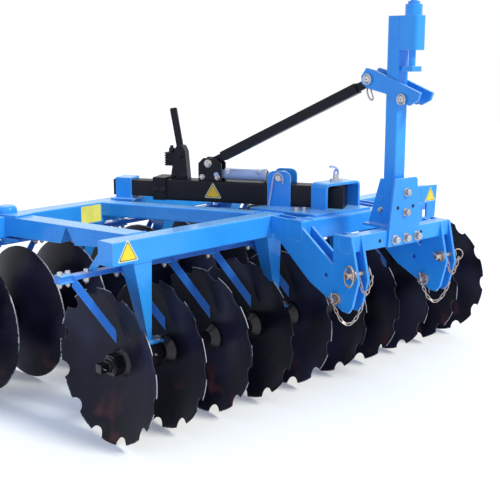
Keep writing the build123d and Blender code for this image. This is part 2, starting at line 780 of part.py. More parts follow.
def cylinder_barrel():
    """Adjusting cylinder above the beam, with its base eye in the brace bracket."""
    z = LUG_HOLE_Z - DECK_Z
    barrel = x_rod(CYL_R, CYL_START, CYL_END, 0, 0)
    gland = x_rod(CYL_R + 3, CYL_START, CYL_START + 22, 0, 0)
    neck = block((CYL_END, -16, -18), (CYL_EYE_AT, 16, 18))
    shape = slide_frame() * Pos(0, 0, z) * (barrel + gland + neck)
    shape += slide_cross_rod(22, 40, CYL_EYE_AT, LUG_HOLE_Z)
    return shape + slide_cross_rod(BASE_PIN_R, BRACE_W + 44, CYL_EYE_AT, LUG_HOLE_Z)


def brace_bracket():
    """Twin plates on the beam for the brace's foot and the rod's eye."""
    length, height = BRACE_LUG
    plates = []
    for side in (-1, 1):
        y = side * (BRACE_W / 2 + 6)
        plate = Pos(BRACE_AT, y, SLIDE + height / 2) * Box(length, 10, height)
        plate = chamfer(plate.edges().filter_by(Axis.Y).sort_by(Axis.Z)[-2:], 26)
        plates.append(slide_frame() * plate)
    cut = brace_pin_rod(LINK_PIN_R + PIN_PLAY)
    cut += slide_cross_rod(BASE_PIN_R + PIN_PLAY, 2 * SLIDE, CYL_EYE_AT, LUG_HOLE_Z)
    return [plate - cut for plate in plates]


def brace_pin_rod(radius):
    return slide_cross_rod(radius, BRACE_W + 60, BRACE_AT + 8, BRACE_FOOT_Z)


def brace_pin():
    return brace_pin_rod(LINK_PIN_R)


def brace():
    """Square brace bar from the mast's rear pin down to the bracket."""
    foot = slide_point(BRACE_AT + 8)
    low = Vector(foot.X, foot.Y, BRACE_FOOT_Z)
    high = Vector(HITCH_X, *BRACE_PIN)
    run = high - low
    level = Vector(run.X, run.Y, 0).normalized()
    frame = Plane(origin=low, x_dir=run, z_dir=run.cross(Vector(-level.Y, level.X, 0)) * -1)
    bar = frame * block((84, -BRACE_H / 2, -BRACE_H / 2), (run.length - 92, BRACE_H / 2, BRACE_H / 2))
    upper = x_rod(27, HITCH_X - 25, HITCH_X + 25, *BRACE_PIN)
    lower = slide_cross_rod(24, BRACE_W - 2, BRACE_AT + 8, BRACE_FOOT_Z)
    neck_low = frame * block((0, -9, -18), (90, 9, 18))
    neck_high = frame * block((run.length - 98, -12, -18), (run.length, 12, 18))
    shape = bar + upper + lower + neck_low + neck_high
    shape -= x_rod(LINK_PIN_R + PIN_PLAY, HITCH_X - MAST, HITCH_X + MAST, *BRACE_PIN)
    return shape - brace_pin_rod(LINK_PIN_R + PIN_PLAY)


def lever_bracket():
    """Rounded bracket on the beam, with the finned valve box behind it."""
    half = LEVER_FOOT / 2
    profile = [(-half, 0), (half, 0), (22, 150), (8, 172), (-20, 168), (-34, 140)]
    body = extrude(Plane.XZ * make_face(Polyline(*profile, close=True)), LEVER_BODY_W / 2, both=True)
    body = fillet(body.edges().filter_by(Axis.Y).sort_by(Axis.Z)[-4:], 9)
    heights = [VALVE_LOW + 2 * FIN_T * number for number in range(FIN_COUNT)]
    fins = [block((20, -24, z), (78, 24, z + FIN_T)) for z in heights]
    core = block((20, -20, VALVE_LOW), (74, 20, heights[-1] + FIN_T))
    return slide_frame() * Pos(LEVER_AT, 0, SLIDE) * (body + core + fins)


def hand_lever():
    """Flat hand lever standing on the bracket."""
    bar = Pos(0, 0, LEVER_L / 2) * Box(34, 12, LEVER_L)
    bar = fillet(bar.edges().filter_by(Axis.Y), 8)
    beside = -LEVER_BODY_W / 2 - 6.3
    return slide_frame() * Pos(LEVER_AT + 4, beside, SLIDE + 96) * Rot(0, 10, 0) * bar


def bodies_of_gang(gang, ends, notched):
    """Each node of one gang with its pieces in the machine's own frame."""
    place = gang_frame(gang)
    name = gang.name
    pieces = {
        f"{name}_beam": [gang_beam(gang, ends)],
        f"{name}_hangers": gang_hangers(gang),
        f"{name}_bearings": gang_bearings(),
        f"{name}_scraper_rail": [scraper_rail(gang)],
        f"{name}_rail_brackets": rail_brackets(gang),
        f"{name}_scrapers": scrapers(gang),
        f"{name}_axle": [gang_axle(gang)],
        f"{name}_spools": gang_spools(gang),
        f"{name}_discs": gang_discs(gang, notched),
    }
    return {node: [place * piece for piece in group] for node, group in pieces.items()}


nodes = bodies_of_gang(FRONT, FRONT_BEAM_ENDS, True)
nodes.update(bodies_of_gang(REAR, REAR_BEAM_ENDS, False))
x, y = pivot_place()
nodes["rear_beam"] = [nodes["rear_beam"][0] - z_rod(PIVOT_R + PIN_PLAY, x, y, 0, 2 * BEAM_TOP)]
near_edges, far_edges = bracket_edges()
nodes.update({
    "side_arm": [side_arm()],
    "arm_fork": arm_fork(),
    "arm_pivot_pin": [pivot_pin()],
    "tie_tube": [tie_tube()],
    "near_hitch_bracket": [hitch_plate(x) for x in near_edges],
    "far_hitch_bracket": [hitch_plate(x) for x in far_edges],
    "hitch_member": [member()],
    "hitch_cross_beam": [cross_beam()],
    "hitch_pins": hitch_pins(),
    "mast": [mast()],
    "mast_base": [mast_base()],
    "mast_foot_plate": [mast_foot_plate()],
    "link_plates": link_plates(),
    "jack_casing": [jack_casing()],
    "jack_screw": [jack_screw()],
    "sign_plate": [sign_plate()],
    "deck": [deck()],
    "front_saddle": [front_saddle()],
    "outer_slide": [outer_slide()],
    "inner_slide": [inner_slide()],
    "slide_collar": [slide_collar()],
    "rear_saddle": [rear_saddle()],
    "cylinder_lugs": cylinder_lugs(),
    "cylinder_barrel": [cylinder_barrel()],
    "cylinder_rod": [cylinder_rod()],
    "brace_bracket": brace_bracket(),
    "brace": [brace()],
    "frame_pins": [saddle_pin(), lug_pin(), brace_pin(), *link_pins()],
    "lever_bracket": [lever_bracket()],
    "hand_lever": [hand_lever()],
})

pieces = [solid for group in nodes.values() for piece in group for solid in piece.solids()]
bounds = Compound(children=pieces).bounding_box()
shift = Vector(-(bounds.min.X + bounds.max.X) / 2, -(bounds.min.Y + bounds.max.Y) / 2, -bounds.min.Z)
print("origin shift", round(shift.X, 4), round(shift.Y, 4), round(shift.Z, 4))
os.makedirs("parts", exist_ok=True)
for node, group in nodes.items():
    solids = [solid.moved(Location(shift)) for piece in group for solid in piece.solids()]
    export_step(Compound(children=solids), f"parts/{node}.step")
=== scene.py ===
import bmesh
import bpy
import json
from math import pi, radians, sqrt
from mathutils import Matrix, Vector


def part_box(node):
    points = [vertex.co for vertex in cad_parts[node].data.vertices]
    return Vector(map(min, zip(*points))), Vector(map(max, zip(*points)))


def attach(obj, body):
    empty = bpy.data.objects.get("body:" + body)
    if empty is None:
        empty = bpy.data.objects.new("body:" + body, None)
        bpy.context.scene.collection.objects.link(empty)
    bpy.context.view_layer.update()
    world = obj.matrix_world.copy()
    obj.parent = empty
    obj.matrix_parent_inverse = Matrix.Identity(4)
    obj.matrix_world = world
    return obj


# Mounted disc harrow. Metres, z up, travel towards -y.
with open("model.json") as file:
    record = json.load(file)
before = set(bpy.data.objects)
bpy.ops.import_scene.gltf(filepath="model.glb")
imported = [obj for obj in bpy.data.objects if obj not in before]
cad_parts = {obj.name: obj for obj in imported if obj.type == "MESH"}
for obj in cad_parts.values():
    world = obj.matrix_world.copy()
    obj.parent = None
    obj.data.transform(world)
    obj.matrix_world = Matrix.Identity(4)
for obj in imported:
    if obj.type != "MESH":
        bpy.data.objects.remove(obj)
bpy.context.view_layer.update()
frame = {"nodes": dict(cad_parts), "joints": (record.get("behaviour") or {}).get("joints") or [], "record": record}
nodes = frame["nodes"]
print("frame loaded:", len(nodes), "nodes")

jointOf = {joint["child"]: joint for joint in frame["joints"]}
hub = Vector(jointOf["front_gang"]["pos_m"])  # middle of the nearest front disc
up = Vector((0, 0, 1))
scene = bpy.context.scene


def spot(x, y, z):  # a place counted from below the nearest front disc
    return Vector((hub.x + x, hub.y + y, z))


def addObject(name, data):
    made = bpy.data.objects.new(name, data)
    scene.collection.objects.link(made)
    return made


def axesAt(start, x, y, z):  # matrix of a place with these three axes
    return Matrix.Translation(start) @ Matrix((x, y, z)).transposed().to_4x4()


def gangPlace(body):  # x along the axle, origin on the ground under the first disc
    joint = jointOf[body]
    along = Vector(joint["axis"]).normalized()
    start = Vector(joint["pos_m"])
    return axesAt((start.x, start.y, 0), along, up.cross(along), up)


# The camera stands where the photograph was taken
view = {"place": (-1.964, -3.164, 1.6035), "look": (0.6283, 0.7487, -0.2113), "lens": 67.1}


def makeCamera():
    data = bpy.data.cameras.new("camera")
    data.lens = view["lens"]
    data.sensor_width = 36
    data.clip_end = 100
    camera = addObject("camera", data)
    camera.rotation_euler = Vector(view["look"]).to_track_quat("-Z", "Y").to_euler()
    camera.location = spot(*view["place"])
    scene.camera = camera


makeCamera()
print("camera ready")


# Shader helpers

def feed(tree, value, socket):  # link a node's output to the socket, or set a plain value on it
    if isinstance(value, bpy.types.NodeSocket):
        tree.links.new(value, socket)
    else:
        socket.default_value = (*value, 1) if socket.type == "RGBA" else value


def fill(tree, node, **sockets):  # i0, i1 and so on are sockets by number
    for name, value in sockets.items():
        byNumber = name[0] == "i" and name[1:].isdigit()
        feed(tree, value, node.inputs[int(name[1:]) if byNumber else name.replace("_", " ")])


def addNode(tree, kind, settings=None, **sockets):
    made = tree.nodes.new("ShaderNode" + kind)
    for name, value in (settings or {}).items():
        setattr(made, name, value)
    fill(tree, made, **sockets)
    return made


def newGroup(name, inputs, outputs):  # inputs with their first values, outputs with their kinds
    tree = bpy.data.node_groups.new(name, "ShaderNodeTree")
    for label, value in inputs.items():
        kind = "NodeSocketVector" if isinstance(value, tuple) else "NodeSocketFloat"
        tree.interface.new_socket(label, in_out="INPUT", socket_type=kind).default_value = value
    for label, kind in outputs.items():
        tree.interface.new_socket(label, in_out="OUTPUT", socket_type="NodeSocket" + kind)
    return tree, tree.nodes.new("NodeGroupInput"), tree.nodes.new("NodeGroupOutput")


def useGroup(tree, group, **sockets):
    return addNode(tree, "Group", {"node_tree": group}, **sockets).outputs


def mathNode(tree, operation, a, b=0.0, clamp=False):
    return addNode(tree, "Math", {"operation": operation, "use_clamp": clamp}, i0=a, i1=b).outputs[0]


def times(tree, a, b, clamp=False):
    return mathNode(tree, "MULTIPLY", a, b, clamp)


def vectorNode(tree, operation, a, b=(0, 0, 0), output=0):
    return addNode(tree, "VectorMath", {"operation": operation}, i0=a, i1=b).outputs[output]


def rangeNode(tree, value, low, high, toLow=0.0, toHigh=1.0, kind="SMOOTHSTEP"):
    return addNode(tree, "MapRange", {"interpolation_type": kind}, Value=value, From_Min=low,
                   From_Max=high, To_Min=toLow, To_Max=toHigh).outputs[0]


def noiseNode(tree, place, scale, detail, rough):
    return addNode(tree, "TexNoise", Vector=place, Scale=scale, Detail=detail, Roughness=rough).outputs[0]


def mixColour(tree, factor, a, b):
    return addNode(tree, "Mix", {"data_type": "RGBA"}, i0=factor, i6=a, i7=b).outputs[2]


def objectPlace(tree):
    return addNode(tree, "TexCoord").outputs["Object"]


def nearGround(tree, place, top):  # 1 on the ground, fading to 0 at the height
    height = addNode(tree, "SeparateXYZ", Vector=place).outputs[2]
    return rangeNode(tree, height, 0.0, top, 1.0, 0.0, "LINEAR")


# Broad clouds and fine grain, for uneven colour and gloss
def makeBreakup():
    tree, given, out = newGroup("breakup", {"Broad Scale": 4.0, "Fine Scale": 120.0},
                                {"Cloud": "Float", "Grain": "Float"})
    place = objectPlace(tree)
    fill(tree, out, Cloud=noiseNode(tree, place, given.outputs[0], 4.0, 0.6),
         Grain=noiseNode(tree, place, given.outputs[1], 2.0, 0.5))
    return tree


# Rounded edges in the normal, and a mask along them for wear and for painted edge highlights
def makeEdges():
    tree, given, out = newGroup("edges", {"Radius": 0.003}, {"Normal": "Vector", "Edge": "Float"})
    soft = addNode(tree, "Bevel", {"samples": 6}, Radius=given.outputs[0]).outputs[0]
    flat = addNode(tree, "NewGeometry").outputs["Normal"]
    same = vectorNode(tree, "DOT_PRODUCT", soft, flat, "Value")
    fill(tree, out, Normal=soft, Edge=rangeNode(tree, mathNode(tree, "SUBTRACT", 1.0, same), 0.02, 0.22))
    return tree


# Soil dust, thick near the ground and patchy above
def makeDust():
    tree, given, out = newGroup("dust", {"Height": 0.5, "Amount": 0.5}, {"Mask": "Float"})
    place = objectPlace(tree)
    low = nearGround(tree, place, given.outputs[0])
    patch = noiseNode(tree, place, 9.0, 6.0, 0.65)
    mask = times(tree, low, rangeNode(tree, patch, 0.38, 0.7))
    fill(tree, out, Mask=times(tree, mask, given.outputs[1], True))
    return tree


# Distance from a gang's axle line
def makeFromAxle():
    tree, given, out = newGroup("fromAxle", {"Centre": (0, 0, 0), "Axis": (1, 0, 0)}, {"Radius": "Float"})
    offset = vectorNode(tree, "SUBTRACT", objectPlace(tree), given.outputs[0])
    across = vectorNode(tree, "CROSS_PRODUCT", offset, given.outputs[1])
    fill(tree, out, Radius=vectorNode(tree, "LENGTH", across, output="Value"))
    return tree


# Painted highlight on faces that look up: a pale colour laid over upward faces, in patches
def makeUpFacingHighlight():
    tree, given, out = newGroup("upFacingHighlight", {"Amount": 0.5}, {"Mask": "Float"})
    place = addNode(tree, "TexCoord").outputs
    facing = addNode(tree, "SeparateXYZ", Vector=place["Normal"]).outputs[2]
    patch = noiseNode(tree, place["Object"], 5.0, 5.0, 0.6)
    mask = times(tree, rangeNode(tree, facing, 0.7, 0.98), rangeNode(tree, patch, 0.25, 0.7, 0.6, 1.0))
    fill(tree, out, Mask=times(tree, mask, given.outputs[0], True))
    return tree


# Soft clouds on the discs: a painted bluish sheen all over, and rust near the ground
def makeSheenAndRust():
    tree, given, out = newGroup("sheenAndRust", {"Height": 0.4}, {"Sheen": "Float", "Rust": "Float"})
    place = objectPlace(tree)
    low = nearGround(tree, place, given.outputs[0])
    wide = noiseNode(tree, place, 3.2, 1.5, 0.5)
    spots = noiseNode(tree, place, 8.0, 1.2, 0.5)
    rust = times(tree, rangeNode(tree, low, 0.05, 0.7), rangeNode(tree, spots, 0.56, 0.74))
    fill(tree, out, Sheen=rangeNode(tree, wide, 0.45, 0.72, 0.0, 0.8), Rust=times(tree, rust, 0.9, True))
    return tree


breakup, edges, dust, fromAxle = makeBreakup(), makeEdges(), makeDust(), makeFromAxle()
upFacingHighlight, sheenAndRust = makeUpFacingHighlight(), makeSheenAndRust()
soil = {"colour": (0.16, 0.10, 0.06), "top": 0.45}
cloudBand, grainBand = (0.35, 0.7), (0.3, 0.7)  # where the noise turns from one look to the other
# pale colour of the painted highlight on upward faces, standing in for light that falls on tops
paleTopHighlight = (0.34, 0.64, 0.96)


def newMaterial(name):
    material = bpy.data.materials.new(name)
    material.use_nodes = True
    tree = material.node_tree
    return material, tree, tree.nodes["Principled BSDF"]


def bumpNode(tree, strength, height, **more):  # bumps a millimetre high
    return addNode(tree, "Bump", Strength=strength, Distance=0.001, Height=height, **more).outputs[0]


# A sprayed or plated surface: colour, its shade in the clouds, and the colour along its edges, which is wear, and
# on the blue paints a painted highlight; film lays a painted highlight on upward faces
def coated(name, colour, shade, edgeWearAndHighlight, rough, metal=0.0, coat=0.0, wearAndHighlight=0.35, wearAndHighlightFrom=0.46, radius=0.003,
           grainScale=140.0, bump=0.04, dusty=0.2, shine=0.5, film=0.0, topHighlightColour=paleTopHighlight):
    material, tree, skin = newMaterial(name)
    look = useGroup(tree, breakup, Broad_Scale=3.5, Fine_Scale=grainScale)
    edge = useGroup(tree, edges, Radius=radius)
    dirt = useGroup(tree, dust, Height=soil["top"], Amount=dusty)[0]
    base = mixColour(tree, rangeNode(tree, look["Cloud"], *cloudBand), colour, shade)
    # edge colour: wear, and with the pale blue colours a painted highlight along the edges
    patchy = rangeNode(tree, look["Cloud"], wearAndHighlightFrom, wearAndHighlightFrom + 0.16, 0.0, wearAndHighlight)
    base = mixColour(tree, times(tree, edge["Edge"], patchy), base, edgeWearAndHighlight)
    # painted highlight: upward faces turn towards the pale colour, as far as film asks
    base = mixColour(tree, useGroup(tree, upFacingHighlight, Amount=film)[0], base, topHighlightColour)
    base = mixColour(tree, dirt, base, soil["colour"])
    gloss = rangeNode(tree, look["Grain"], *grainBand, rough, rough + 0.1)
    gloss = mathNode(tree, "ADD", gloss, times(tree, dirt, 0.5), True)
    normal = bumpNode(tree, bump, look["Grain"], Normal=edge["Normal"])
    fill(tree, skin, Base_Color=base, Roughness=gloss, Normal=normal, Metallic=metal,
         Specular_IOR_Level=shine, Coat_Weight=coat, Coat_Roughness=0.08)
    return material


# Black coated discs: turned rings, a painted bluish sheen, rust low down and a bright ground rim
discLook = {
    "black": (0.004, 0.005, 0.013), "cloudy": (0.013, 0.012, 0.025),
    "sheen": (0.034, 0.034, 0.075), "rust": (0.120, 0.042, 0.045), "rustTop": 0.27,
    "rim": (0.50, 0.52, 0.56), "rimFrom": 0.3262, "rimTo": 0.3282, "rings": 1800.0, "shine": 0.14,
}


def discSteel(body):
    joint = jointOf[body]
    material, tree, skin = newMaterial(body + "DiscSteel")
    radius = useGroup(tree, fromAxle, Centre=joint["pos_m"], Axis=joint["axis"])[0]
    look = useGroup(tree, breakup, Broad_Scale=5.0, Fine_Scale=90.0)
    sheenRustMasks = useGroup(tree, sheenAndRust, Height=discLook["rustTop"])
    ragged = mathNode(tree, "ADD", radius, rangeNode(tree, look["Grain"], *grainBand, -0.002, 0.002))
    rim = times(tree, rangeNode(tree, ragged, discLook["rimFrom"], discLook["rimTo"]),
                rangeNode(tree, look["Cloud"], 0.42, 0.55))
    cloudy = rangeNode(tree, look["Cloud"], 0.4, 0.65)
    base = mixColour(tree, cloudy, discLook["black"], discLook["cloudy"])
    # painted bluish sheen over the black
    base = mixColour(tree, sheenRustMasks["Sheen"], base, discLook["sheen"])
    base = mixColour(tree, sheenRustMasks["Rust"], base, discLook["rust"])
    base = mixColour(tree, rim, base, discLook["rim"])
    rough = rangeNode(tree, look["Cloud"], *grainBand, 0.28, 0.46)
    rough = mathNode(tree, "ADD", rough, times(tree, sheenRustMasks["Rust"], 0.3), True)
    rings = mathNode(tree, "SINE", times(tree, radius, discLook["rings"]))
    height = mathNode(tree, "ADD", times(tree, rings, 0.25), look["Grain"])
    fill(tree, skin, Base_Color=base, Metallic=times(tree, rim, 0.9), Roughness=rough,
         Specular_IOR_Level=discLook["shine"], Normal=bumpNode(tree, 0.1, height))
    return material


# Films, rubber, and the painted shade of holes: one colour, a little darker in the clouds
def plain(name, colour, rough, bump=0.05, grainScale=200.0):
    material, tree, skin = newMaterial(name)
    look = useGroup(tree, breakup, Broad_Scale=8.0, Fine_Scale=grainScale)
    darker = tuple(part * 0.82 for part in colour)
    base = mixColour(tree, rangeNode(tree, look["Cloud"], *cloudBand), colour, darker)
    gloss = rangeNode(tree, look["Grain"], *grainBand, rough, rough + 0.12)
    fill(tree, skin, Base_Color=base, Roughness=gloss, Normal=bumpNode(tree, bump, look["Grain"]))
    return material


# the pale cyan along the blue paint's edges is a painted highlight
paint = {"colour": (0.034, 0.338, 0.880), "shade": (0.026, 0.285, 0.820),
         "edgeWearAndHighlight": (0.34, 0.72, 0.98)}
finish = {
    # the blue paint's pale upward faces are a painted highlight
    "blue": coated("bluePaint", rough=0.24, coat=0.3, wearAndHighlight=0.9, wearAndHighlightFrom=0.22, radius=0.0034, bump=0.015,
                   dusty=0.05, shine=0.22, film=0.75, **paint),
    # scrapers: the same blue paint in a darker copy, as painted shade
    "shadedScraperBlue": coated("scraperPaintShaded", (0.026, 0.200, 0.700), (0.020, 0.165, 0.600), paint["edgeWearAndHighlight"],
                       0.3, wearAndHighlight=0.8, wearAndHighlightFrom=0.25, radius=0.0016, bump=0.02, dusty=0.1, shine=0.2),
    # rails: the pale lilac on upward faces and along the edges is a painted reflection
    "railBlue": coated("railPaint", (0.050, 0.260, 0.780), (0.060, 0.230, 0.680),
                       (0.58, 0.62, 0.78), 0.3, wearAndHighlight=0.9, wearAndHighlightFrom=0.2, radius=0.0022, bump=0.03,
                       dusty=0.05, shine=0.25, film=1.0, topHighlightColour=(0.50, 0.53, 0.70)),
    "black": coated("blackPaint", (0.004, 0.005, 0.010), (0.008, 0.008, 0.014),
                    (0.09, 0.09, 0.10), 0.34, shine=0.22),
    "slide": coated("slideSteel", (0.010, 0.009, 0.012), (0.020, 0.015, 0.015),
                    (0.2, 0.19, 0.18), 0.38, shine=0.25),
    "iron": coated("gangIron", (0.004, 0.005, 0.009), (0.011, 0.011, 0.015),
                   (0.07, 0.07, 0.08), 0.28, coat=0.2, grainScale=60.0, bump=0.3, shine=0.35),
    "zinc": coated("zincSteel", (0.60, 0.60, 0.62), (0.46, 0.40, 0.36),
                   (0.78, 0.78, 0.80), 0.24, metal=0.85, radius=0.001, dusty=0.1),
    "bronze": coated("warmZinc", (0.60, 0.54, 0.51), (0.44, 0.33, 0.28),
                     (0.82, 0.80, 0.78), 0.28, metal=0.85, radius=0.001, dusty=0.2),
    "grey": coated("cylinderGrey", (0.46, 0.55, 0.80), (0.38, 0.46, 0.70),
                   (0.75, 0.80, 0.92), 0.24, coat=0.3),
    "frontDisc": discSteel("front_gang"),
    "rearDisc": discSteel("rear_gang"),
    "yellow": plain("yellowFilm", (0.93, 0.72, 0.03), 0.32),
    "amber": plain("amberFilm", (0.97, 0.56, 0.02), 0.32),
    "signEdge": plain("signEdgeFilm", (0.80, 0.82, 0.55), 0.32),
    "paleYellow": plain("paleYellowFilm", (0.93, 0.89, 0.16), 0.35),
    "ink": plain("blackInk", (0.012, 0.012, 0.012), 0.4),
    # near-black discs that paint the shade inside holes
    "dark": plain("paintedHoleShade", (0.004, 0.004, 0.005), 0.7),
    "rubber": plain("sealRubber", (0.012, 0.012, 0.012), 0.55, grainScale=400.0, bump=0.15),
    "white": plain("whitePlastic", (0.80, 0.80, 0.76), 0.35),
    "weld": coated("weldBead", rough=0.26, coat=0.3, radius=0.0008, dusty=0.1, shine=0.4, **paint),
}
print("materials ready:", len(finish))

slotOf = {"blue": "blue_paint", "weld": "blue_paint", "shadedScraperBlue": "blue_paint", "black": "black_paint",
          "slide": "slide_steel", "iron": "gang_iron", "zinc": "zinc_steel", "bronze": "zinc_steel",
          "grey": "cylinder_grey", "frontDisc": "disc_steel", "rearDisc": "disc_steel"}
finishOfSlot = {slotOf[key]: key for key in ("blue", "black", "slide", "iron", "zinc", "grey")}
ownFinish = {"front_discs": "frontDisc", "rear_discs": "rearDisc", "hitch_pins": "bronze",
             "front_scrapers": "shadedScraperBlue", "rear_scrapers": "shadedScraperBlue",
             "front_scraper_rail": "railBlue", "rear_scraper_rail": "railBlue"}
slotOfNode = {part["node"]: part["material_slot"] for part in frame["record"]["subparts"]}
for name, cadNode in nodes.items():
    key = ownFinish.get(name) or finishOfSlot[slotOfNode[name]]
    cadNode.data.materials.clear()
    cadNode.data.materials.append(finish[key])
print("finishes on the frame's own nodes")


# Mesh helpers

def keep(shape, name="stampSource"):  # the shape as a mesh; small ones are stamped many times
    mesh = bpy.data.meshes.new(name)
    bmesh.ops.recalc_face_normals(shape, faces=shape.faces)
    shape.to_mesh(mesh)
    shape.free()
    return mesh


def done(name, shape, key, body="frame", angle=35):
    mesh = keep(shape, name)
    mesh.shade_smooth()
    mesh.set_sharp_from_angle(angle=radians(angle))
    mesh.materials.append(finish[key])
    piece = addObject(name, mesh)
    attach(piece, body)


def stamp(shape, source, matrix):
    before = len(shape.verts)
    shape.from_mesh(source)
    shape.verts.ensure_lookup_table()
    bmesh.ops.transform(shape, matrix=matrix, verts=shape.verts[before:])


def aim(place, direction, turn=0.0):  # z towards direction, turned about it
    spin = Vector(direction).to_track_quat("Z", "Y").to_matrix().to_4x4()
    return Matrix.Translation(place) @ spin @ Matrix.Rotation(turn, 4, "Z")


def within(place, x, y, z):  # a point counted along a place's own axes
    return place @ Vector((x, y, z))


def wayIn(place, x, y, z):  # a direction in a place's own axes
    return place.to_3x3() @ Vector((x, y, z))


def shifted(place, x, y, z):  # a place moved along its own axes
    return place @ Matrix.Translation((x, y, z))


def acrossAt(x, place):  # the place moved to x, across the machine
    return Vector((x, place.y, place.z))


upsideDown = Matrix.Rotation(pi, 4, "X")


def vertsIn(geom):
    return [item for item in geom if isinstance(item, bmesh.types.BMVert)]


def edgesAmong(verts):  # the edges with both ends among the vertices
    known = set(verts)
    met = dict.fromkeys(edge for vert in verts for edge in vert.link_edges)
    return [edge for edge in met if all(vert in known for vert in edge.verts)]


def bevelled(shape, geom, offset, affect="EDGES", segments=2):
    bmesh.ops.bevel(shape, geom=geom, offset=offset, segments=segments, affect=affect,
                    profile=0.5, material=-1)


def thicken(shape, way):  # gives flat faces a thickness
    made = bmesh.ops.extrude_face_region(shape, geom=shape.faces[:])["geom"]
    bmesh.ops.translate(shape, vec=way, verts=vertsIn(made))


def addRound(shape, bottom, top, low, high, segments=32, chamfer=0.0):  # a turned piece along z
    middle = Matrix.Translation((0, 0, (low + high) / 2))
    made = bmesh.ops.create_cone(shape, cap_ends=True, segments=segments, radius1=bottom, radius2=top,
                                 depth=high - low, matrix=middle)["verts"]
    if chamfer:
        rim = [edge for edge in edgesAmong(made) if all(vert.co.z > high - 1e-6 for vert in edge.verts)]
        bevelled(shape, rim, chamfer)


def turned(*rounds, size=1.0):  # rounds stacked along z: radius below, above, from, to, segments, chamfer
    shape = bmesh.new()
    for values in rounds:
        addRound(shape, *values)
    bmesh.ops.scale(shape, vec=(size, size, size), verts=shape.verts)
    return keep(shape)


hexCorner = 1 / sqrt(3)  # bolts and nuts are drawn one across flats, then brought to size


def hexBolt(flats):  # head and washer on z = 0
    return turned((0.74, 0.74, 0, 0.09, 28, 0.02), (hexCorner, hexCorner, 0.09, 0.72, 6, 0.05),
                  (0.44, 0.40, 0.70, 0.745, 24), size=flats)


def hexNut(flats):  # nut with the bolt's end standing out of it
    threads = [(0.31, 0.27, 0.80 + 0.07 * turn, 0.87 + 0.07 * turn, 20) for turn in range(4)]
    return turned((0.80, 0.80, 0, 0.09, 28, 0.02), (hexCorner, hexCorner, 0.09, 0.80, 6, 0.06), *threads,
                  size=flats)


def ringShape(radius, wire, squeeze=1.0):  # a ring of round wire about z
    shape = bmesh.new()
    start = Matrix.Translation((radius, 0, 0)) @ Matrix.Rotation(pi / 2, 4, "X")
    bmesh.ops.create_circle(shape, cap_ends=False, segments=10, radius=wire / 2, matrix=start)
    bmesh.ops.spin(shape, geom=shape.verts[:] + shape.edges[:], cent=(0, 0, 0), axis=(0, 0, 1),
                   dvec=(0, 0, 0), angle=2 * pi, steps=36, use_merge=True)
    bmesh.ops.remove_doubles(shape, verts=shape.verts, dist=1e-6)
    bmesh.ops.scale(shape, vec=(1, squeeze, 1), verts=shape.verts)
    return keep(shape)


def sweep(shape, path, radius, segments=10, swell=None):  # a round bar along a path, its ends closed
    count = len(path)
    heading = (path[1] - path[0]).normalized()
    side = heading.orthogonal().normalized()
    places = []
    for step, point in enumerate(path):
        ahead = (path[min(step + 1, count - 1)] - path[max(step - 1, 0)]).normalized()
        side = heading.rotation_difference(ahead) @ side
        heading = ahead
        size = Matrix.Scale(swell[step] if swell else 1.0, 4)
        places.append(axesAt(point, side, heading.cross(side), heading) @ size)
    rim = edgesAmong(bmesh.ops.create_circle(shape, cap_ends=True, segments=segments, radius=radius,
                                             matrix=places[0])["verts"])
    for before, after in zip(places, places[1:]):
        fresh = vertsIn(bmesh.ops.extrude_edge_only(shape, edges=rim)["geom"])
        rim = edgesAmong(fresh)
        bmesh.ops.transform(shape, matrix=after @ before.inverted(), verts=fresh)
    bmesh.ops.contextual_create(shape, geom=rim)


def smoothPath(points, steps=8):  # an even curve through the points
    ends = [2 * points[0] - points[1]] + list(points) + [2 * points[-1] - points[-2]]
    path = []
    for a, b, c, d in zip(ends, ends[1:], ends[2:], ends[3:]):
        for step in range(steps):
            t = step / steps
            bend = (2 * a - 5 * b + 4 * c - d) * t**2 + (3 * b - a - 3 * c + d) * t**3
            path.append(0.5 * (2 * b + (c - a) * t + bend))
    return path + [points[-1]]


def bentRod(start, offsets, radius, segments, steps=8):  # bent through places counted from the start
    shape = bmesh.new()
    sweep(shape, smoothPath([start + Vector(offset) for offset in offsets], steps), radius, segments)
    return shape


# Both gangs, and what the frame's pieces share
gang = {
    "pitch": 0.258, "discs": 10, "bays": (0, 3, 5, 7), "hub": hub.z,
    "seat": hub.z + 0.060 + 0.012,  # top of the hangers' feet
    "front": {"place": gangPlace("front_gang"), "hollow": -1, "beamY": 0.0},
    "rear": {"place": gangPlace("rear_gang"), "hollow": 1, "beamY": -0.109},
}
beamTop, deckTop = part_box("front_beam")[1].z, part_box("deck")[1].z
tube = 0.1

# Welds: beads of paint-covered ripples where the frame's pieces meet
weld = {"radius": 0.0042, "step": 0.0055, "ripple": 0.14, "sides": 6}


def addWeld(shape, points):
    path = []
    for start, end in zip(points, points[1:]):
        count = max(2, int((end - start).length / weld["step"]))
        path += [start.lerp(end, step / count) for step in range(count)]
    path.append(points[-1])
    swell = [1 + weld["ripple"] * (step % 2) for step in range(len(path))]
    sweep(shape, path, weld["radius"], weld["sides"], swell)


def weldLine(shape, start, end):
    addWeld(shape, [Vector(start), Vector(end)])


def rectangle(place, low, high, z):  # the corners of a rectangle at height z, closed
    corners = ((low[0], low[1]), (high[0], low[1]), (high[0], high[1]), (low[0], high[1]))
    return [within(place, x, y, z) for x, y in corners + corners[:1]]


hanger = {"top": 0.092, "foot": 0.046, "halfWidth": 0.009, "bracketAt": 0.062, "bracketThick": 0.010,
          "bracketWeld": (0.032, 0.095)}


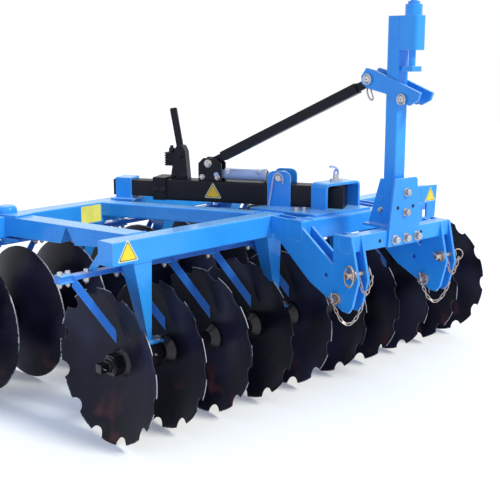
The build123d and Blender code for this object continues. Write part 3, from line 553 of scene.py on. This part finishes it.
def makeHangerWelds():
    shape = bmesh.new()
    top, foot, half = hanger["top"], hanger["foot"], hanger["halfWidth"]
    for side in ("front", "rear"):
        own = gang[side]
        beam, face = own["beamY"], own["beamY"] + tube / 2
        for bay in gang["bays"]:
            middle = (bay + 0.5) * gang["pitch"]
            start = middle + min(own["hollow"], 0) * top
            corners = (start, beam - top / 2), (start + top, beam + top / 2)
            addWeld(shape, rectangle(own["place"], *corners, beamTop - tube))
            corners = (middle - half, -foot / 2), (middle + half, foot / 2)
            addWeld(shape, rectangle(own["place"], *corners, gang["seat"]))
            bracket = middle - own["hollow"] * hanger["bracketAt"]
            for x in (bracket, bracket + hanger["bracketThick"]):
                addWeld(shape, [within(own["place"], x, face, beamTop - z)
                                for z in hanger["bracketWeld"]])
    done("hangerWelds", shape, "weld", angle=60)


makeHangerWelds()

# Hitch: weld lines along its plates and gussets, at the members that they carry
hitchWeld = {"plate": 0.012, "gap": 0.004, "foot": 0.010, "gusset": 0.008,
             "linkFront": 0.601, "linkRear": 0.637}


def makeHitchWelds():
    shape = bmesh.new()
    plate, gap = hitchWeld["plate"], hitchWeld["gap"]
    cross, member, base, mast = (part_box(name) for name in
                                 ("hitch_cross_beam", "hitch_member", "mast_base", "mast"))
    for side in ("near_hitch_bracket", "far_hitch_bracket"):
        low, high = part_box(side)
        for x in (low.x, low.x + plate, high.x - plate, high.x):
            weldLine(shape, (x, member[0].y + gap, high.z), (x, member[1].y - gap, high.z))
            if cross[0].x + gap < x < cross[1].x - gap:
                weldLine(shape, (x, cross[1].y, cross[0].z), (x, cross[1].y, cross[1].z))
                weldLine(shape, (x, cross[0].y, cross[0].z), (x, cross[1].y, cross[0].z))
    foot = cross[1].z + hitchWeld["foot"]
    addWeld(shape, rectangle(Matrix(), mast[0], mast[1], foot))
    for x in (base[0].x, base[1].x):
        weldLine(shape, (x, base[0].y, cross[1].z), (x, cross[1].y - gap, cross[1].z))
    for x in (mast[0].x + hitchWeld["gusset"], mast[1].x - hitchWeld["gusset"]):
        weldLine(shape, (x, mast[1].y, foot + 0.01), (x, mast[1].y, base[1].z))
        weldLine(shape, (x, mast[1].y + 0.01, foot), (x, base[1].y - 0.01, foot))
    for x in (mast[0].x, mast[1].x):
        weldLine(shape, (x, mast[0].y, beamTop + hitchWeld["linkFront"]),
                 (x, mast[1].y, beamTop + hitchWeld["linkRear"]))
    deck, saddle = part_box("deck"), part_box("front_saddle")
    for x in (saddle[0].x, saddle[0].x + plate, saddle[1].x - plate, saddle[1].x):
        weldLine(shape, (x, saddle[0].y + gap, deck[1].z), (x, saddle[1].y - gap, deck[1].z))
    weldLine(shape, (deck[1].x, deck[0].y + 0.005, deck[0].z), (deck[1].x, deck[1].y - 0.005, deck[0].z))
    done("hitchWelds", shape, "weld", angle=60)


makeHitchWelds()


def makeArmWelds():
    shape = bmesh.new()
    place = gang["front"]["place"]
    for name, near, far in (("side_arm", 0.105, 0.005), ("tie_tube", 0.088, 0.004)):
        low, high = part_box(name)
        end = (place.inverted() @ Vector((high.x, low.y, 0))).x
        addWeld(shape, [within(place, end - x, tube / 2, beamTop) for x in (near, far)])
    done("armWelds", shape, "weld", angle=60)


makeArmWelds()
print("welds made")


# Bolts and nuts, by their size across flats
bolts = {"foot": 0.026, "base": 0.029, "bearing": 0.024, "clamp": 0.019, "collar": 0.022}
boltShape = {key: hexBolt(size) for key, size in bolts.items()}
nutShape = {key: hexNut(size) for key, size in bolts.items()}

# Across from the mast's middle, up from the beam's top, and the head's turn or the hole's depth
mastBolts = {
    "foot": ((0.004, 0.138, 0.3), (0.002, 0.050, 0.9)), "rowTurns": (0.2, 0.7, 0.5), "rowMiddle": 0.010,
    "rowPitch": 0.073, "rowDown": 0.066, "gusset": (0.008, 0.121, 0.046), "hole": 0.0085,
    "holes": ((-0.051, 0.073, 0), (0.049, 0.072, 0), (0.122, -0.056, 0.010), (-0.150, -0.062, 0.010)),
}


def makeMastBolts():
    shape, holes = bmesh.new(), bmesh.new()
    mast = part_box("mast")
    middle = (mast[0].x + mast[1].x) / 2
    front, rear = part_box("mast_foot_plate")[0].y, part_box("hitch_cross_beam")[1].y
    forward, backward = (0, -1, 0), (0, 1, 0)
    for x, z, turn in mastBolts["foot"]:
        stamp(shape, boltShape["foot"], aim((middle + x, front, beamTop + z), forward, turn))
    row = beamTop - mastBolts["rowDown"]
    for number, turn in enumerate(mastBolts["rowTurns"]):
        x = middle + mastBolts["rowMiddle"] + (number - 1) * mastBolts["rowPitch"]
        stamp(shape, boltShape["base"], aim((x, front, row), forward, turn))
        stamp(shape, nutShape["base"], aim((x, rear, row), backward, turn))
    x, y, z = mastBolts["gusset"]
    stamp(shape, boltShape["clamp"], aim((mast[0].x + x, front + y, beamTop + z), (-1, 0, 0), 0.4))
    done("mastBolts", shape, "zinc")
    # the holes are thin dark discs on the plate face: painted shade
    hole = turned((mastBolts["hole"], mastBolts["hole"], -0.0004, 0.0004, 24))
    for x, z, y in mastBolts["holes"]:
        stamp(holes, hole, aim((middle + x, front + y, beamTop + z), forward))
    done("holeShadeDiscs", holes, "dark")


makeMastBolts()

bearing = {"bolts": (0.036, 0.034), "sealAt": 0.047, "nipple": (-0.0575, 0.016)}


def makeBearingBolts():
    shape, seals, nipples = bmesh.new(), bmesh.new(), bmesh.new()
    sealShape = turned((0.0445, 0.0425, 0, 0.003, 36, 0.001))
    nippleShape = turned((0.0055, 0.0055, 0, 0.005, 6, 0.0005), (0.0032, 0.0026, 0.005, 0.010, 16),
                         (0.0036, 0.0022, 0.010, 0.0135, 16))
    boltX, boltY = bearing["bolts"]
    back, rise = bearing["nipple"]
    for side in ("front", "rear"):
        place = gang[side]["place"]
        for bay in gang["bays"]:
            middle = (bay + 0.5) * gang["pitch"]
            for x in (-boltX, boltX):
                for y in (-boltY, boltY):
                    seat = within(place, middle + x, y, gang["seat"])
                    stamp(shape, boltShape["bearing"], aim(seat, up, x * 20 + bay))
            for way in (-1, 1):
                end = within(place, middle + way * bearing["sealAt"], 0, gang["hub"])
                stamp(seals, sealShape, aim(end, wayIn(place, way, 0, 0)))
            end = within(place, middle, back, gang["hub"] + rise)
            stamp(nipples, nippleShape, aim(end, wayIn(place, 0, -1, 0.28)))
    done("bearingBolts", shape, "zinc")
    done("bearingSeals", seals, "rubber")
    done("greaseNipples", nipples, "zinc")


makeBearingBolts()

# Each scraper is held to the rail by two plates with two bolts through them
clamp = {"size": (0.062, 0.052, 0.007), "out": 0.170, "firstOut": 0.022, "plates": 0.0135, "bolts": 0.019,
         "seat": 0.017, "back": {"front": 0.065, "rear": 0.0425}}


def makeScraperClamps():
    blocks, shape, plate = bmesh.new(), bmesh.new(), bmesh.new()
    bmesh.ops.create_cube(plate, size=1.0)
    bmesh.ops.scale(plate, vec=clamp["size"], verts=plate.verts)
    bevelled(plate, plate.edges, 0.0015)
    plateShape = keep(plate)
    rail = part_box("front_scraper_rail")
    railZ = (rail[0].z + rail[1].z) / 2
    for side in ("front", "rear"):
        own = gang[side]
        y = own["beamY"] + tube / 2 + clamp["back"][side]
        for number in range(gang["discs"]):
            out = clamp["out"] + (clamp["firstOut"] if number == 0 and side == "front" else 0)
            x = number * gang["pitch"] + own["hollow"] * out
            for z in (railZ + clamp["plates"], railZ - clamp["plates"]):
                stamp(blocks, plateShape, shifted(own["place"], x, y, z))
            for dx in (-clamp["bolts"], clamp["bolts"]):
                head = shifted(own["place"], x + dx, y, railZ + clamp["seat"])
                below = shifted(own["place"], x + dx, y, railZ - clamp["seat"])
                stamp(shape, boltShape["clamp"], head)
                stamp(shape, nutShape["clamp"], below @ upsideDown)
    done("scraperClamps", blocks, "blue")
    done("scraperBolts", shape, "zinc")


makeScraperClamps()

# A bracket like the others holds the front rail near the beam's free end
endBracket = {"at": -0.064, "thick": 0.010, "down": 0.060, "lip": 0.010, "rail": (0.095, 0.135, 0.710),
              "boltOut": 0.020, "grip": 0.020}


def makeEndBracket():
    shape, hard = bmesh.new(), bmesh.new()
    place = gang["front"]["place"]
    near, far, railTop = endBracket["rail"]
    face, start = tube / 2, beamTop - endBracket["down"]
    outline = [(face, start), (face, beamTop - tube + 0.001), (near, railTop), (far, railTop),
               (face + endBracket["lip"], start)]
    shape.faces.new([shape.verts.new((endBracket["at"], y, z)) for y, z in outline])
    thicken(shape, (endBracket["thick"], 0, 0))
    bmesh.ops.transform(shape, matrix=place, verts=shape.verts)
    done("railEndBracket", shape, "blue")
    x, y = endBracket["at"] - endBracket["boltOut"], (near + far) / 2
    stamp(hard, boltShape["clamp"], shifted(place, x, y, railTop))
    below = shifted(place, x, y, railTop - endBracket["grip"])
    stamp(hard, nutShape["bearing"], below @ upsideDown)
    done("railEndBolt", hard, "zinc")


makeEndBracket()

# Two bolts stand on the deck beside the saddle
deckBolts = ((0.985, 0.010), (1.018, -0.008))


def makeDeckBolts():
    shape = bmesh.new()
    for x, y in deckBolts:
        place = spot(x, y, deckTop)
        stamp(shape, boltShape["clamp"], Matrix.Translation(place) @ Matrix.Rotation(x * 9, 4, "Z"))
    done("deckBolts", shape, "bronze")


makeDeckBolts()
print("bolts made")

# Hub ends: washer and small collar on the big nut, and a split pin through the axle outside it
hubEnd = {"nutFace": 0.063, "pinAt": 0.108, "pin": (-0.034, 0.030), "wire": 0.0028}


def makeHubEnds():
    collar = turned((0.036, 0.036, 0, 0.005, 36, 0.001), (0.030, 0.027, 0.005, 0.020, 6, 0.002))
    for side in ("front", "rear"):
        shape, pins = bmesh.new(), bmesh.new()
        place = gang[side]["place"]
        last = (gang["discs"] - 1) * gang["pitch"]
        for end, way in ((0.0, -1), (last, 1)):
            face = shifted(place, end + way * hubEnd["nutFace"], 0, gang["hub"])
            stamp(shape, collar, face @ Matrix.Rotation(way * pi / 2, 4, "Y"))
            x = end + way * hubEnd["pinAt"]
            path = [within(place, x, y, gang["hub"]) for y in hubEnd["pin"]]
            sweep(pins, path, hubEnd["wire"], 8)
        done(side + "HubCollars", shape, "iron", side + "_gang")
        done(side + "SplitPins", pins, "zinc", side + "_gang")


makeHubEnds()


# Pins of the hitch: washers, spring pins through their ends, rings, and the keeper chains
ring = {"big": ringShape(0.029, 0.0072, 1.5), "small": ringShape(0.021, 0.0045),
        "pull": ringShape(0.0245, 0.005)}
chainLink = {"inside": 0.0215, "width": 0.0165, "wire": 0.0044}


def linkShape(inside, width, wire):  # one chain link, long side along z
    shape = bmesh.new()
    reach = (width - wire) / 2
    half = (inside + wire) / 2 - reach
    start = Matrix.Translation((reach, 0, -half))
    bmesh.ops.create_circle(shape, cap_ends=False, segments=8, radius=wire / 2, matrix=start)
    rim = shape.edges[:]
    for rise in (2 * half, -2 * half):  # a straight side and the half turn after it
        fresh = vertsIn(bmesh.ops.extrude_edge_only(shape, edges=rim)["geom"])
        bmesh.ops.translate(shape, vec=(0, 0, rise), verts=fresh)
        last = bmesh.ops.spin(shape, geom=fresh + edgesAmong(fresh), cent=(0, 0, rise / 2),
                              axis=(0, 1, 0), dvec=(0, 0, 0), angle=-pi, steps=8,
                              use_duplicate=False)["geom_last"]
        rim = edgesAmong(vertsIn(last))
    bmesh.ops.remove_doubles(shape, verts=shape.verts, dist=1e-5)
    return keep(shape)


linkMesh = linkShape(**chainLink)


def hang(start, end, sag):  # points one link apart on a chain that hangs between two places
    shares = [step / 400 for step in range(401)]
    fine = [start.lerp(end, t) - up * (4 * sag * t * (1 - t)) for t in shares]
    points, gone = [fine[0]], 0.0
    for before, after in zip(fine, fine[1:]):
        gone += (after - before).length
        if gone >= chainLink["inside"]:
            points.append(after)
            gone = 0.0
    return points


def addChain(shape, start, end, sag):
    points = hang(start, end, sag)
    for number, (before, after) in enumerate(zip(points, points[1:])):
        stamp(shape, linkMesh, aim((before + after) / 2, after - before, (number % 2) * pi / 2 + 0.35))


hitchPin = {
    "lower": (-0.415, 0.307), "upper": (-0.507, 0.185),  # behind the first disc, down from the beam's top
    "lowerLean": (0, 0.35, 1), "upperLean": (0, 0.9, 0.45), "keeper": (0.024, 0.030, 0.0046),
    "keeperIn": 0.010, "washerOut": 0.008, "headOut": 0.016, "sideSag": 0.105, "backSag": 0.078,
    # each ring's kind, where it hangs, how far from there, and the way it faces
    "near": (("small", "lowerTip", (0.006, -0.003, 0.003), (-0.75, -0.6, 0.25)),
             ("big", "upperTip", (-0.006, -0.007, -0.001), (-0.97, 0.10, 0.06)),
             ("small", "upperHead", (0.004, -0.016, 0.006), (0.7, -0.6, 0.3))),
    "far": (("pull", "lowerTip", (0.010, -0.002, -0.005), (-0.95, -0.30, 0.1)),
            ("pull", "upperHead", (0.020, -0.014, -0.004), (-0.5, -0.86, 0.06))),
}


def makeHitchPins():
    hardware, chains = bmesh.new(), bmesh.new()
    washerShape = turned((0.026, 0.026, 0, 0.004, 32, 0.0008))
    tipShape = turned((0.0125, 0.009, 0, 0.004, 28, 0.001))
    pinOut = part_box("near_hitch_bracket")[0].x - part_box("hitch_pins")[0].x
    pin = {name: spot(0, hitchPin[name][0], beamTop - hitchPin[name][1]) for name in ("lower", "upper")}
    before, after, wire = hitchPin["keeper"]
    for side in ("near", "far"):
        low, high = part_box(side + "_hitch_bracket")
        tipX, headX = low.x - pinOut, high.x + hitchPin["headOut"]
        hooks = {"upperHead": acrossAt(headX, pin["upper"])}
        for name, place in pin.items():
            stamp(hardware, washerShape, aim(acrossAt(low.x, place), (-1, 0, 0)))
            stamp(hardware, washerShape, aim(acrossAt(high.x + hitchPin["washerOut"], place), (1, 0, 0)))
            stamp(hardware, tipShape, aim(acrossAt(tipX, place), (-1, 0, 0)))
            lean = Vector(hitchPin[name + "Lean"]).normalized()
            middle = acrossAt(tipX + hitchPin["keeperIn"], place)
            hooks[name + "Tip"] = middle
            sweep(hardware, [middle - lean * before, middle + lean * after], wire, 10)
        for kind, hook, offset, way in hitchPin[side]:
            stamp(hardware, ring[kind], aim(hooks[hook] + Vector(offset), way))
        lower, upper = pin.values()
        tipHook = Vector((tipX + 0.008, lower.y - 0.008, lower.z - 0.016))
        noseHook = Vector((high.x - 0.006, upper.y - 0.014, lower.z + 0.012))
        addChain(chains, tipHook, noseHook, hitchPin["sideSag"])
        headHook = Vector((headX + 0.006, upper.y - 0.030, upper.z - 0.012))
        plateHook = Vector((low.x + 0.020, upper.y - 0.020, upper.z - 0.006))
        addChain(chains, headHook, plateHook, hitchPin["backSag"])
    done("pinHardware", hardware, "bronze")
    done("keeperChains", chains, "bronze")


makeHitchPins()
print("hitch pins and chains made")

# Pins of the top link and brace: domed ends in a rim, washers, spring pins and small rings, and a dark dot of
# painted shade on each dome for its recess
linkPin = {"places": ((-0.305, 0.621), (-0.505, 0.541)), "rimOut": 0.009, "domeOut": 0.008,
           "keeperOut": 0.013, "keeper": (0.022, 0.026, 0.0032), "ring": (0, 0.004, 0.004)}


def makeLinkPins():
    shape, centreShades = bmesh.new(), bmesh.new()
    low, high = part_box("link_plates")
    rimShape = ringShape(0.0215, 0.0075)
    washerShape = turned((0.0245, 0.0245, 0, 0.004, 32, 0.001))
    domeShape = turned((0.0175, 0.0160, -0.002, 0.003, 32), (0.0160, 0.0105, 0.003, 0.0065, 32, 0.002))
    # a dark dot on the dome's middle: painted shade of a recess
    centreShadeShape = turned((0.0040, 0.0030, 0.0055, 0.0070, 20))
    below, above, wire = linkPin["keeper"]
    for y, z in linkPin["places"]:
        place = spot(0, y, beamTop + z)
        dome = aim(acrossAt(low.x - linkPin["domeOut"], place), (-1, 0, 0))
        stamp(shape, rimShape, aim(acrossAt(low.x - linkPin["rimOut"], place), (-1, 0, 0)))
        stamp(shape, domeShape, dome)
        stamp(centreShades, centreShadeShape, dome)
        stamp(shape, washerShape, aim(acrossAt(high.x, place), (1, 0, 0)))
        keeper = acrossAt(high.x + linkPin["keeperOut"], place)
        sweep(shape, [keeper - up * below, keeper + up * above], wire, 10)
        stamp(shape, ring["small"], aim(keeper + Vector(linkPin["ring"]), (1, 0.1, 0), 0.2))
    done("linkPinHardware", shape, "zinc")
    done("linkPinCentreShade", centreShades, "iron")


makeLinkPins()


# The telescopic beam's own axes: x rearward along it from the saddle pin, z up from the deck
def slidePlace(run):
    low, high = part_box("front_saddle")
    start = Vector(((low.x + high.x) / 2, (low.y + high.y) / 2, deckTop))
    along = Vector((*run, 0)).normalized()
    return axesAt(start, along, up.cross(along), up)


slide = {"place": slidePlace((-600, 949)), "half": 0.052, "top": 0.104, "lugAt": 0.265, "pinUp": 0.138,
         "collarAt": 0.889}


def slideSpot(x, y, z):
    return within(slide["place"], x, y, z)


def slideWay(x, y, z):
    return wayIn(slide["place"], x, y, z)


def onSlide(x, y, z, side, turn=0.0):  # z out of the beam's side
    return aim(slideSpot(x, y, z), slideWay(0, side, 0), turn)


# Collar bolts, the lug pin's washers, the bent rod that keeps it, and the saddle pin's handle
slideDetail = {
    "collarBolts": (0.020, 0.062, 0.052), "washerOut": 0.066, "keeperOut": 0.0745, "keeperWire": 0.0052,
    # along the beam, and up from the lug pin; the last two bring it down to the deck
    "keeper": ((-0.022, -0.026), (-0.021, 0.004), (0.0, 0.023), (0.021, 0.010), (0.028, -0.020),
               (0.038, -0.080), (0.048, -0.134)),
    "handleUp": 0.026, "handleWire": 0.0058,
    "handle": ((0.010, 0, -0.004), (0.014, 0, 0.012), (0.006, 0, 0.026), (-0.008, 0, 0.024),
               (-0.012, 0, 0.010), (-0.004, -0.004, 0.002), (0.004, -0.010, 0.016),
               (-0.004, -0.010, 0.034), (-0.026, -0.008, 0.046), (-0.048, -0.006, 0.048)),
}


def makeSlideDetails():
    dark, hard, keeper = bmesh.new(), bmesh.new(), bmesh.new()
    washerShape = turned((0.019, 0.019, 0, 0.003, 32, 0.001))
    boltX, boltY, boltZ = slideDetail["collarBolts"]
    for side in (-1, 1):
        for x in (-boltX, boltX):
            place = onSlide(slide["collarAt"] + x, side * boltY, boltZ, side, x * 30)
            stamp(dark, boltShape["collar"], place)
        place = onSlide(slide["lugAt"], side * slideDetail["washerOut"], slide["pinUp"], side)
        stamp(hard, washerShape, place)
    done("collarBolts", dark, "black")
    done("slideHardware", hard, "bronze")
    path = [slideSpot(slide["lugAt"] + x, slideDetail["keeperOut"], slide["pinUp"] + z)
            for x, z in slideDetail["keeper"]]
    sweep(keeper, smoothPath(path), slideDetail["keeperWire"], 12)
    done("lugKeeperRod", keeper, "grey")
    pin = slideSpot(0, 0, 0)
    base = Vector((pin.x, pin.y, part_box("front_saddle")[1].z + slideDetail["handleUp"]))
    done("saddlePinHandle", bentRod(base, slideDetail["handle"], slideDetail["handleWire"], 12), "grey")


makeSlideDetails()

cylinder = {
    "gland": 0.345, "nose": 0.357, "noseRing": 0.3445, "weldRing": 0.553, "ports": (0.378, 0.540),
    "boss": (0.019, 0.014), "cap": (0.027, 0.020), "portWay": (0, 0.8, 0.6),
    "elbow": ((0.535, 0.020, 0.004), (0.535, 0.040, 0.006), (0.530, 0.052, 0.012), (0.524, 0.058, 0.030)),
}


def makeCylinderDetails():
    grey, seal, fitting = bmesh.new(), bmesh.new(), bmesh.new()
    z = slide["pinUp"]
    for shape, source, name in ((seal, turned((0.0225, 0.0215, 0, 0.003, 36, 0.001)), "gland"),
                                (grey, turned((0.033, 0.033, 0.0, 0.012, 48, 0.002)), "nose"),
                                (fitting, ringShape(0.0255, 0.009), "noseRing"),
                                (grey, ringShape(0.0282, 0.006), "weldRing")):
        stamp(shape, source, aim(slideSpot(cylinder[name], 0, z), slideWay(-1, 0, 0)))
    boss = turned((0.014, 0.0125, 0, 0.010, 28, 0.001))
    cap = turned((0.0115, 0.0105, 0, 0.010, 6, 0.001), (0.0085, 0.0070, 0.010, 0.016, 24, 0.0015))
    for x in cylinder["ports"]:
        for shape, source, name in ((grey, boss, "boss"), (fitting, cap, "cap")):
            y, rise = cylinder[name]
            stamp(shape, source, aim(slideSpot(x, y, z + rise), slideWay(*cylinder["portWay"])))
    elbow = [slideSpot(x, y, z + rise) for x, y, rise in cylinder["elbow"]]
    sweep(fitting, smoothPath(elbow, 6), 0.0085, 14)
    done("cylinderCollars", grey, "grey")
    done("rodWiper", seal, "rubber")
    done("portPlugs", fitting, "white")


makeCylinderDetails()

# The brace's foot pin and bolts, and a spring clip that hangs on the pin of its upper fork
brace = {
    "foot": (0.636, 0.036, 0.200), "bolts": (0.628, 0.040, 0.018), "fork": (1.161, -0.290, 0.590),
    "clip": ((-0.014, 0.012, 0.004), (-0.028, 0.006, -0.018), (-0.030, -0.004, -0.044),
             (-0.020, -0.012, -0.060), (-0.008, -0.012, -0.056), (-0.006, -0.006, -0.040),
             (-0.012, 0.002, -0.010)), "clipWire": 0.0038,
}


def makeBraceDetails():
    hard = bmesh.new()
    head = turned((0.020, 0.020, 0, 0.006, 32, 0.0015), (0.013, 0.010, 0.006, 0.012, 28, 0.0015))
    at, out, rise = brace["foot"]
    boltAt, apart, boltUp = brace["bolts"]
    for side in (-1, 1):
        stamp(hard, head, onSlide(at, side * out, beamTop + rise - deckTop, side))
        for x in (-apart, apart):
            place = onSlide(boltAt + x, side * out, slide["top"] + boltUp, side, x * 9)
            stamp(hard, boltShape["clamp"], place)
    done("braceFootPin", hard, "zinc")
    x, y, z = brace["fork"]
    done("forkClip", bentRod(spot(x, y, beamTop + z), brace["clip"], brace["clipWire"], 8, 6), "bronze")


makeBraceDetails()
print("setting gear details made")

# Hand lever: pivot bolt, the bracket's cap screws and the spool of the valve
lever = {"pivot": (0.799, -0.039, 0.130), "screws": ((0.765, 0.020), (0.821, 0.020), (0.781, 0.120)),
         "screwOut": 0.026, "spool": (0.842, 0.132)}


def makeLeverDetails():
    hard, valve = bmesh.new(), bmesh.new()
    top = slide["top"]
    x, y, z = lever["pivot"]
    stamp(hard, boltShape["clamp"], onSlide(x, y, top + z, -1, 0.4))
    for x, z in lever["screws"]:
        stamp(hard, boltShape["clamp"], onSlide(x, lever["screwOut"], top + z, 1, z * 8))
    done("leverBolts", hard, "black")
    spool = turned((0.015, 0.015, 0, 0.022, 28, 0.002), (0.009, 0.009, 0.022, 0.034, 24, 0.001))
    x, z = lever["spool"]
    stamp(valve, spool, aim(slideSpot(x, 0, top + z), up))
    done("valveSpool", valve, "black")


makeLeverDetails()

# Films: triangles with a pale edge and a dark outline, and a plate, all bare of any mark
film = {"thick": 0.0006, "inkThick": 0.4, "triangleCorner": 0.17, "plateCorner": 0.006,
        "line": 0.86, "field": 0.77, "beam": (0.006, 0.054), "slide": (0.606, 0.048),
        "sign": (0.052, 0.018), "plate": (0.905, 0.051), "plateSize": (0.122, 0.086)}


def makeFilm(name, shape, matrix, corner, key, lift):
    bevelled(shape, shape.verts[:], corner, "VERTICES", 4)
    thicken(shape, (0, 0, lift))
    bmesh.ops.transform(shape, matrix=matrix, verts=shape.verts)
    done(name, shape, key)


def triangle(name, matrix, size, key, lift):
    shape = bmesh.new()
    bmesh.ops.create_circle(shape, cap_ends=True, segments=3, radius=size)
    makeFilm(name, shape, matrix, size * film["triangleCorner"], key, lift)


def plate(name, matrix, size, key, lift):
    shape = bmesh.new()
    bmesh.ops.create_grid(shape, x_segments=1, y_segments=1, size=0.5)
    bmesh.ops.scale(shape, vec=(*size, 1), verts=shape.verts)
    makeFilm(name, shape, matrix, film["plateCorner"], key, lift)


def onFace(place, outward):  # z out of the face, y up it
    out = Vector(outward).normalized()
    return axesAt(place, up.cross(out).normalized(), up, out)


def onBeam(side, x, down):  # on the front face of a gang's beam
    place = gang[side]["place"]
    face = within(place, x, gang[side]["beamY"] - tube / 2, beamTop - down)
    return onFace(face, wayIn(place, 0, -1, 0))


def makeFilms():
    thick, ink = film["thick"], film["thick"] * film["inkThick"]
    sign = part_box("sign_plate")
    x, z = film["slide"]
    onSlideFace = onFace(slideSpot(x, slide["half"], z), slideWay(0, 1, 0))
    x, z = film["sign"]
    onSign = onFace((sign[1].x - x, sign[0].y, beamTop + z), (0, -1, 0))
    for name, matrix, size, key in (("beamTriangle", onBeam("front", *film["beam"]), 0.062, "yellow"),
                                    ("slideTriangle", onSlideFace, 0.052, "amber"),
                                    ("signTriangle", onSign, 0.050, "yellow")):
        triangle(name, matrix, size, "signEdge", thick)
        triangle(name + "Line", shifted(matrix, 0, 0, thick), size * film["line"], "ink", ink)
        triangle(name + "Field", shifted(matrix, 0, 0, thick + ink), size * film["field"], key, ink)
    plate("beamPlate", onBeam("rear", *film["plate"]), film["plateSize"], "paleYellow", thick)


makeFilms()
print("films made")

# Floor, background and light
stage = {"floor": 14.0, "floorColour": (0.97, 0.97, 0.97), "floorLift": 0.14, "sky": 0.79,
         "skyColour": (0.63, 0.75, 1.0), "sun": 2.3, "sunColour": (1.0, 0.98, 0.85),
         "sunFrom": (0.30, -0.78, 0.80), "sunSoft": 14.0}


def seenDirectly(tree):  # 1 for the camera and in reflections, 0 for the light on the object
    path = addNode(tree, "LightPath").outputs
    mirrored = mathNode(tree, "MAXIMUM", path["Is Glossy Ray"], path["Is Transmission Ray"])
    return mathNode(tree, "MAXIMUM", path["Is Camera Ray"], mirrored)


def makeFloor():
    shape = bmesh.new()
    bmesh.ops.create_grid(shape, x_segments=1, y_segments=1, size=stage["floor"])
    floor = addObject("floor", keep(shape, "floor"))
    material, tree, skin = newMaterial("paleFloor")
    lift = times(tree, seenDirectly(tree), stage["floorLift"])
    fill(tree, skin, Base_Color=stage["floorColour"], Roughness=0.9, Specular_IOR_Level=0.0,
         Emission_Strength=lift)
    floor.data.materials.append(material)


def makeSky():
    world = bpy.data.worlds.new("studio")
    scene.world = world
    world.use_nodes = True
    sky = world.node_tree
    sky.nodes.clear()
    light = addNode(sky, "Background", Color=stage["skyColour"], Strength=stage["sky"])
    white = addNode(sky, "Background", Color=(1, 1, 1), Strength=1.0)
    both = addNode(sky, "MixShader", i0=seenDirectly(sky), i1=light.outputs[0], i2=white.outputs[0])
    addNode(sky, "OutputWorld", Surface=both.outputs[0])


def makeSun():
    sun = bpy.data.lights.new("sun", "SUN")
    sun.energy = stage["sun"]
    sun.angle = radians(stage["sunSoft"])
    sun.color = stage["sunColour"]
    lamp = addObject("sun", sun)
    lamp.rotation_euler = (-Vector(stage["sunFrom"])).to_track_quat("-Z", "Y").to_euler()


makeFloor()
makeSky()
makeSun()
scene.view_settings.view_transform = "Standard"
print("stage ready")
